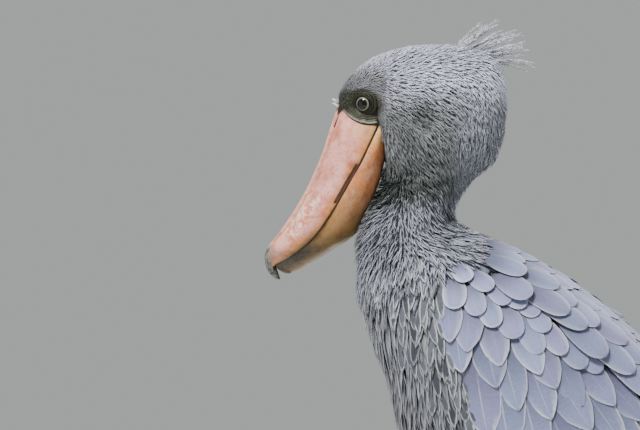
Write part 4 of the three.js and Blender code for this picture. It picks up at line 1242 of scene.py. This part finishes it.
def cloud(places, size, octaves=4):
    """Fractal noise at places, about 0 to 1"""
    flat = places.reshape(-1, 3) / size
    values = [fractal(Vector(p), 0.9, 2.1, octaves) for p in flat]
    return np.clip(np.array(values).reshape(places.shape[:-1]) * 0.5 + 0.5, 0, 1)


def band(value, low, high, soft):
    """One between low and high, nothing beyond, with soft ends"""
    return ease(value, low - soft, low + soft) * (1 - ease(value, high - soft, high + soft))


def upper_tint(u, v, mouth, culmen, keel_gap, places):
    """Rosy horn with orange, lilac, scuffed and olive patches, with painted shade in the keel groove, along
    the mouth seam, in the slot and at the base under the skin folds
    """
    h = (v - mouth) / (culmen - mouth)
    over_seam = v - mouth
    broad, fine, spots = cloud(places, 34.0), cloud(places, 9.0), cloud(places, 3.2)
    tint = painted(np.array([0.66, 0.39, 0.36]), {
        "orange": (ease(broad * 0.7 + fine * 0.3, 0.4, 0.58), (0.56, 0.215, 0.12)),
        "lilac": (0.75 * band(u, 20, 170, 16) * band(h, 0.25, 0.85, 0.14)
                  * ease(fine + 0.5 * broad, 0.55, 0.95), (0.60, 0.37, 0.385)),
        "lower edge": ((1 - ease(h, 0.1, 0.3)) * (0.6 + 0.4 * fine), (0.52, 0.28, 0.09)),
        "base": (0.7 * (1 - ease(u, 8, 34)) * (1 - ease(h, 0.3, 0.6)), (0.60, 0.42, 0.19)),
        "olive": (0.85 * ease(u, 120, 172) * (1 - ease(h, 0.06, 0.3)), (0.17, 0.12, 0.02)),
        "gold": (0.6 * ease(u, 150, 182) * band(h, 0.16, 0.42, 0.1), (0.55, 0.27, 0.06)),
        "scuffs": (0.85 * band(u, 108, 176, 12) * band(h, 0.45, 0.9, 0.1)
                   * ease(spots * 0.55 + fine * 0.6, 0.5, 0.72), (0.86, 0.8, 0.74)),
        "specks": (0.35 * ease(cloud(places, 1.5, 2), 0.62, 0.8) * band(u, 30, 190, 20), (0.25, 0.1, 0.07)),
        # Painted shade in the groove beside the keel
        "keel groove": (0.95 * np.exp(-((keel_gap - GROOVE) / 1.5) ** 2) * (1 - ease(u, 188, 205)),
                        (0.07, 0.022, 0.03)),
        "ridge": (0.7 * (1 - ease(keel_gap, -2.2, -0.4)), (0.66, 0.47, 0.44)),
        "grey tip": (0.85 * ease(u, 184, 198) * ease(h, 0.2, 0.75), (0.23, 0.22, 0.22)),
        # Painted shade along the mouth seam
        "seam": (0.9 * (1 - ease(over_seam, 0.5, 2.0)), (0.035, 0.025, 0.01)),
        # Painted shade in the slot by the mouth
        "slot": (band(u, *SLOT, 2) * band(over_seam, 0.2, 4.4, 0.5), (0.15, 0.085, 0.06)),
    })
    # Painted shade at the bill's base, under the skin folds
    fold = np.interp(v, [0, 9, 17, 26, 50, 58], [0, 0.6, 3.2, 4.4, -2.9, -9])
    return mixed(1 - ease(u - fold, -1.0, 1.2), tint * (0.93, 0.75, 0.68), (0.02, 0.02, 0.011))


def lower_tint(u, v, mouth, low, places):
    """Orange horn, yellow at the gape, tan and olive towards the tip, with painted shade along the mouth seam
    """
    h = (v - low) / (mouth - low)
    broad, fine = cloud(places, 26.0), cloud(places, 7.0)
    olive = ease(u, 96, 168) * (0.55 + 0.5 * fine) + ease(u, 60, 150) * (1 - ease(h, 0.1, 0.55)) * 0.6
    tint = painted(np.array([0.56, 0.30, 0.19]), {
        "orange": (ease(broad, 0.4, 0.65), (0.52, 0.22, 0.09)),
        "gape": (0.85 * (1 - ease(u, 6, 36)) * ease(h, 0.35, 0.8), (0.74, 0.52, 0.25)),
        "tan": (0.8 * ease(u, 66, 124), (0.36, 0.2, 0.07)),
        "olive": (np.clip(olive, 0, 1), (0.13, 0.09, 0.02)),
        "dark tip": (0.92 * ease(u, 156, 182) * ease(h, 0.2, 0.6), (0.016, 0.02, 0.008)),
        "keel": (0.6 * ease(u, 120, 160) * (1 - ease(h, 0.0, 0.22)), (0.36, 0.26, 0.11)),
        "specks": (0.35 * ease(cloud(places, 1.6, 2), 0.6, 0.8), (0.22, 0.1, 0.05)),
    })
    # Painted shade along the mouth seam, where the lower half meets the upper
    return mixed(0.9 * ease(v - mouth, -1.6, -0.6), tint * (0.95, 0.85, 0.72), (0.03, 0.02, 0.008))


def ringed(half_y, half_v):
    """A closed section from its half: down one side, back up the other"""
    y = np.concatenate([half_y, -half_y[:0:-1]])
    v = np.concatenate([half_v, half_v[:0:-1]])
    return y, v


def make_horn(name, half, node):
    """One half of the bill: its sections, uneven by small dents, closed by a rounded end"""
    upper = half is upper_half
    rows = spline(BILL, np.linspace(0, len(BILL) - 1, 170))
    y, v = np.array([ringed(*half(row)) for row in rows]).transpose(1, 0, 2)
    u = np.repeat(rows[:, :1], y.shape[1], 1)
    culmen, mouth, low = rows[:, 1:2], rows[:, 2:3], rows[:, 3:4]
    places = bill_point(u, y, v)
    axis_point = bill_point(u[:, :1], 0 * mouth, (mouth + (culmen if upper else low)) / 2)
    push = (cloud(places, 14.0) - 0.5) * 1.1
    if upper:
        keel_gap = np.abs(y) - KEEL * np.minimum(1, rows[:, 4:5] / FULL_WIDTH)
        tint = upper_tint(u, v, mouth, culmen, keel_gap, places)
        push -= 0.5 * np.exp(-((keel_gap - GROOVE) / 1.2) ** 2)
        push -= 2.4 * band(u, *SLOT, 1.5) * band(v - mouth, 0.2, 4.0, 0.4) * (np.abs(y) > 20)
    else:
        tint = lower_tint(u, v, mouth, low, places)
    push *= ease(np.abs(y), 0, 4)
    grid = places + unit(places - axis_point) * push[..., None]
    end, middle = grid[-1], grid[-1].mean(0)
    swell = np.linspace(0.15, 1, 7) * math.pi / 2
    tip = [middle + (end - middle) * math.cos(a) + BILL_AXIS * 5 * math.sin(a) for a in swell]
    tint = np.concatenate([tint, np.repeat(tint[-1:], len(swell), 0)])
    finish_piece(lofted(name, np.concatenate([grid, tip]), tint), horn, (node,))


def make_nail():
    stations = np.linspace(0, len(NAIL) - 1, 44)
    turn = full_turn(28)
    u, v, wide, high = spline(NAIL, stations).T[..., None]
    tilt = ease(u, 200, 222) * 0.9
    rise = high * np.sin(turn)
    grid = bill_point(u + rise * tilt, wide * np.cos(turn), v + rise * (1 - 0.35 * tilt))
    streak = cloud(grid * np.array([1, 1, 0.35]), 3.0)
    tints = painted(np.array([0.035, 0.038, 0.035]), {
        "streaks": (ease(streak, 0.35, 0.7), (0.15, 0.155, 0.135)),
        "root": (0.6 * np.repeat(1 - ease(stations, 0, 1.6)[:, None], len(turn), 1), (0.5, 0.4, 0.36)),
    })
    finish_piece(lofted("bill_nail", grid, tints), horn)


def make_nostril(side_name, side):
    # Painted shade: a dark tube standing in for the nostril's opening
    turn = full_turn(16)
    k = np.linspace(-1, 1, 13)[:, None]
    reach = np.sqrt(np.maximum(0.0, 1 - k * k)) * 1.1 + 0.05
    grid = bill_point(12 + 11 * k + 0 * turn, side * 10.2 + reach * np.cos(turn), 50.6 + reach * np.sin(turn))
    finish_piece(lofted(f"nostril_{side_name}", grid, np.full(grid.shape, 0.015)), horn)


make_horn("bill_upper_horn", upper_half, "bill_upper")
make_horn("bill_lower_horn", lower_half, "bill_lower")
make_nail()
for side_name, side in SIDES.items():
    make_nostril(side_name, side)

horn_points, horn_faces = [], []
for name in ("bill_upper_horn", "bill_lower_horn"):
    mesh = bpy.data.objects[name].data
    horn_faces += [tuple(i + len(horn_points) for i in face.vertices) for face in mesh.polygons]
    horn_points += [vertex.co for vertex in mesh.vertices]
bill_tree = BVHTree.FromPolygons(horn_points, horn_faces)


# Lids from the eye outward: reach, height, thickness, tint
LIDS = [
    (10.4, 5.4, 1.6, (0.008, 0.0075, 0.004)), (12.9, 4.6, 2.1, (0.013, 0.013, 0.007)),
    (16.2, 3.0, 2.4, (0.018, 0.018, 0.01)),
]


def make_eye(side_name, side):
    centre, look = EYE[side], LOOK[side]
    bm = bmesh.new()
    bmesh.ops.create_uvsphere(bm, u_segments=48, v_segments=32, radius=EYE_RADIUS * MILLIMETRE)
    for vertex in bm.verts:
        vertex.co += Vector(metres(centre))
    name = f"eyeball_{side_name}"
    ball = new_object(name, smooth_shaded(built(name, bm)))
    material = eye_material(f"eye_{side_name}_surface", tuple(metres(centre)), tuple(look))
    finish_piece(ball, material, (f"eye_{side_name}",))
    ahead = unit(np.cross(UP, look))
    above = unit(np.cross(look, ahead))
    turn = full_turn(64)[:, None]
    for index, (reach, push, thick, tint) in enumerate(LIDS):
        out = ahead * np.cos(turn) + above * np.sin(turn) * (0.96 - 0.05 * index)
        wobble = 1 + 0.03 * np.sin(turn * 5 + index * 2)
        middle = centre + out * reach * wobble + look * (push + 0.5 * np.sin(turn * 3 + index))
        round_section = np.array([[thick]])
        grid = rings(middle, out[:, None], look, round_section, round_section, full_turn(14))
        lid = lofted(f"lid_{side_name}_{index + 1}", grid, np.broadcast_to(tint, grid.shape), looped=True)
        finish_piece(lid, lid_skin)


def seam_path(side, side_view, out):
    """Points of the side view brought onto the head's surface"""
    path = []
    for x, z in side_view:
        start = Vector(metres(np.array([x, side * 120.0, z])))
        hit = bill_tree.ray_cast(start, Vector((0, -side, 0)), 0.12)
        other = skin_tree.ray_cast(start, Vector((0, -side, 0)), 0.12)
        reach = max([abs(h[0].y) * 1000 for h in (hit, other) if h[0] is not None] or [46.0])
        path.append([x, side * (reach + out), z])
    path = np.array(path)
    path[:, 1] = np.convolve(np.pad(path[:, 1], 2, mode="edge"), np.ones(5) / 5, mode="valid")
    return path


FOLD_LINE = [
    [-222, 1064], [-218, 1058.5], [-211, 1052], [-203, 1047.5], [-194, 1045], [-186, 1044.3], [-179, 1045],
]
# The folds' distances under the line, radii, tints and how far they stand out
FOLDS = {
    "fold": (2.2, 2.1, (0.25, 0.25, 0.19), -0.6), "fold_middle": (4.8, 1.8, (0.1, 0.105, 0.075), -0.8),
    # The crease is painted shade: a dark tube along the fold line
    "fold_upper": (7.6, 1.7, (0.05, 0.053, 0.035), -0.7), "crease": (0.0, 1.2, (0.012, 0.008, 0.006), 0.0),
}


def make_folds(side_name, side):
    """The folds of bare skin over the bill's base and a dark tube of painted shade in the crease under them
    """
    share = np.linspace(0, 1, 48)
    fine = spline(FOLD_LINE, share * (len(FOLD_LINE) - 1))
    uneven = np.sin(share * 23) * 0.5 + np.sin(share * 41 + 1) * 0.35
    taper = np.sin(np.linspace(0.25, math.pi - 0.25, 48)) ** 0.6
    swelling = (0.45 + 0.6 * share) * taper * (1 + 0.12 * uneven)
    for name, (rise, radius, tint, out) in FOLDS.items():
        shift = rise * (0.6 + 0.5 * share) + uneven * 0.35 * (rise > 0)
        path = seam_path(side, fine + np.stack([0 * share, shift], -1), out)
        ahead = unit(np.gradient(path, axis=0))
        across = unit(np.cross(ahead, ACROSS))
        beside = unit(np.cross(across, ahead))
        radii = (radius * swelling)[:, None]
        grid = rings(path, across[:, None], beside[:, None], radii, radii, full_turn(14))
        tints = mixed((share * 0.8 + uneven * 0.15)[:, None] * np.ones(14), np.array(tint) * 0.45, tint)
        finish_piece(lofted(f"{name}_{side_name}", grid, tints), lid_skin)


for side_name, side in SIDES.items():
    make_eye(side_name, side)
for side_name, side in SIDES.items():
    make_folds(side_name, side)


HUB = {side: np.array([8.0, side * 72.0, 0.0]) for side in (LEFT, RIGHT)}
# Down a leg: place x y z, radius
SHANK = np.array([
    [32, 67, 356, 10.5], [38, 67, 315, 10.5], [42, 67, 283, 12.5], [44, 67, 262, 16.5], [41, 67, 240, 13.5],
    [36, 67, 205, 10], [26, 69, 140, 9.5], [16, 71, 75, 10.5], [10, 72, 36, 14], [8, 72, 16, 16],
    [8, 72, -4, 14],
], float)
# Each toe's length and direction in degrees
TOES = {"middle": (150, 5), "inner": (108, -24), "outer": (122, 33), "hind": (70, 176)}
TOE_START = 4
# Along a toe: share of its length, radius
KNUCKLES = np.array([
    [0, 11], [0.16, 10], [0.3, 8.6], [0.4, 9.4], [0.54, 7.6], [0.66, 8.2], [0.8, 6.4], [0.92, 6.8], [1, 5.2],
], float)
# Along a claw: distance, height, half width
CLAW = np.array([[-4, 5.4, 4.2], [4, 6.6, 4.2], [11, 6, 3.3], [18, 3.8, 2], [24, 0.9, 0.5]], float)


def floor_flat(grid):
    """Points with those under the floor brought up to it"""
    grid = grid.copy()
    grid[..., 2] = np.maximum(grid[..., 2], 0.0)
    return grid


def make_leg(side_name, side):
    rows = spline(SHANK, np.linspace(0, len(SHANK) - 1, 190))
    height = rows[:, 2:3]
    turn = full_turn(40)
    front = ease(-np.cos(turn), 0.1, 0.8)
    scutes = np.cos(height / 6.4 * 2 * math.pi)
    cells = np.cos(height / 3.6 * math.pi + turn * 9)
    radius = rows[:, 3:] * (1 + 0.045 * scutes * front + 0.012 * cells * (1 - front))
    grid = rings(rows[:, :3] * (1, side, 1), np.array([1.0, 0, 0]), ACROSS, radius, radius, turn)
    shank = lofted(f"shank_{side_name}", floor_flat(grid))
    finish_piece(shank, leg_scales, (f"leg_{side_name}",))
    for toe, (long, angle) in TOES.items():
        make_toe(side_name, side, toe, long, math.radians(angle))


def make_toe(side_name, side, toe, long, turned_by):
    ahead = np.array([-math.cos(turned_by), side * math.sin(turned_by), 0])
    across = np.cross(ahead, UP)
    f = np.linspace(0, 1, max(60, int(long * 0.7)))[:, None]
    radius = spline(KNUCKLES, np.interp(f[:, 0], KNUCKLES[:, 0], np.arange(len(KNUCKLES))))[:, 1:]
    around = full_turn(28)
    plates = np.cos(f * long / 4.2 * 2 * math.pi) * ease(np.sin(around), 0.1, 0.8) * 0.035
    pads = np.cos(f * long / 9 * 2 * math.pi) * (1 - ease(np.sin(around), -0.6, 0.2)) * 0.03
    full = radius * (1 + plates + pads)
    middle = HUB[side] + ahead * (TOE_START + f * long) + UP * (0.82 * radius)
    piece = lofted(f"toe_{toe}_{side_name}", floor_flat(rings(middle, across, UP, full, full, around)))
    finish_piece(piece, leg_scales, (f"toe_{side_name}_{toe}",))
    along, height, wide = spline(CLAW, np.linspace(0, len(CLAW) - 1, 26)).T[..., None]
    middle = HUB[side] + ahead * (TOE_START + long + along) + UP * height
    around = full_turn(20)
    keel = 1 - 0.12 * ease(-np.sin(around), 0.2, 1)
    claw = lofted(f"nail_{toe}_{side_name}", floor_flat(rings(middle, across, UP, wide, wide * keel, around)))
    finish_piece(claw, claw_horn, (f"claw_{side_name}_{toe}",))


for side_name, side in SIDES.items():
    make_leg(side_name, side)


# Camera, lights and floor

VIEW_CENTRE = metres(np.array([-250.0, 0.0, 932.5]))
DISTANCE = 5.0
FRAME_WIDTH = 0.8
SENSOR = 36.0

camera_data = bpy.data.cameras.new("camera")
camera_data.sensor_width = SENSOR
camera_data.lens = SENSOR * DISTANCE / FRAME_WIDTH
camera_data.clip_end = 100
camera = new_object("camera", camera_data)
camera.location = (VIEW_CENTRE[0], -DISTANCE, VIEW_CENTRE[2])
camera.rotation_euler = (math.pi / 2, 0, 0)
bpy.context.scene.camera = camera


def area_light(name, place, aim, size, power, colour):
    data = bpy.data.lights.new(name, "AREA")
    data.size = size
    data.energy = power
    data.color = colour
    lamp = new_object(name, data)
    lamp.location = place
    lamp.rotation_euler = (Vector(aim) - Vector(place)).to_track_quat("-Z", "Y").to_euler()


area_light("key", (-1.3, -1.9, 3.9), (-0.1, 0, 0.9), 1.1, 330, (1.0, 0.98, 0.96))
area_light("fill", (-3.2, -1.6, 1.2), (0, 0, 0.8), 2.4, 18, (0.95, 0.98, 1.0))
area_light("rim", (1.8, 2.2, 3.0), (0, 0, 0.8), 1.4, 110, (1.0, 1.0, 1.0))

world = bpy.data.worlds.new("studio")
world.use_nodes = True
world.node_tree.nodes["Background"].inputs["Color"].default_value = (0.82, 0.85, 0.84, 1)
world.node_tree.nodes["Background"].inputs["Strength"].default_value = 0.5
bpy.context.scene.world = world

bm = bmesh.new()
bmesh.ops.create_circle(bm, cap_ends=True, segments=96, radius=3.5)
floor = new_object("floor", built("floor", bm))
paint = Look("floor_paint", 0.8)
paint_grain = paint.noise(paint.place(), 30.0)
paint.links.new(paint.ramp(paint_grain, (0.3, 0.66), (0.7, 0.7)), paint.surface["Base Color"])
floor.data.materials.append(paint.material)
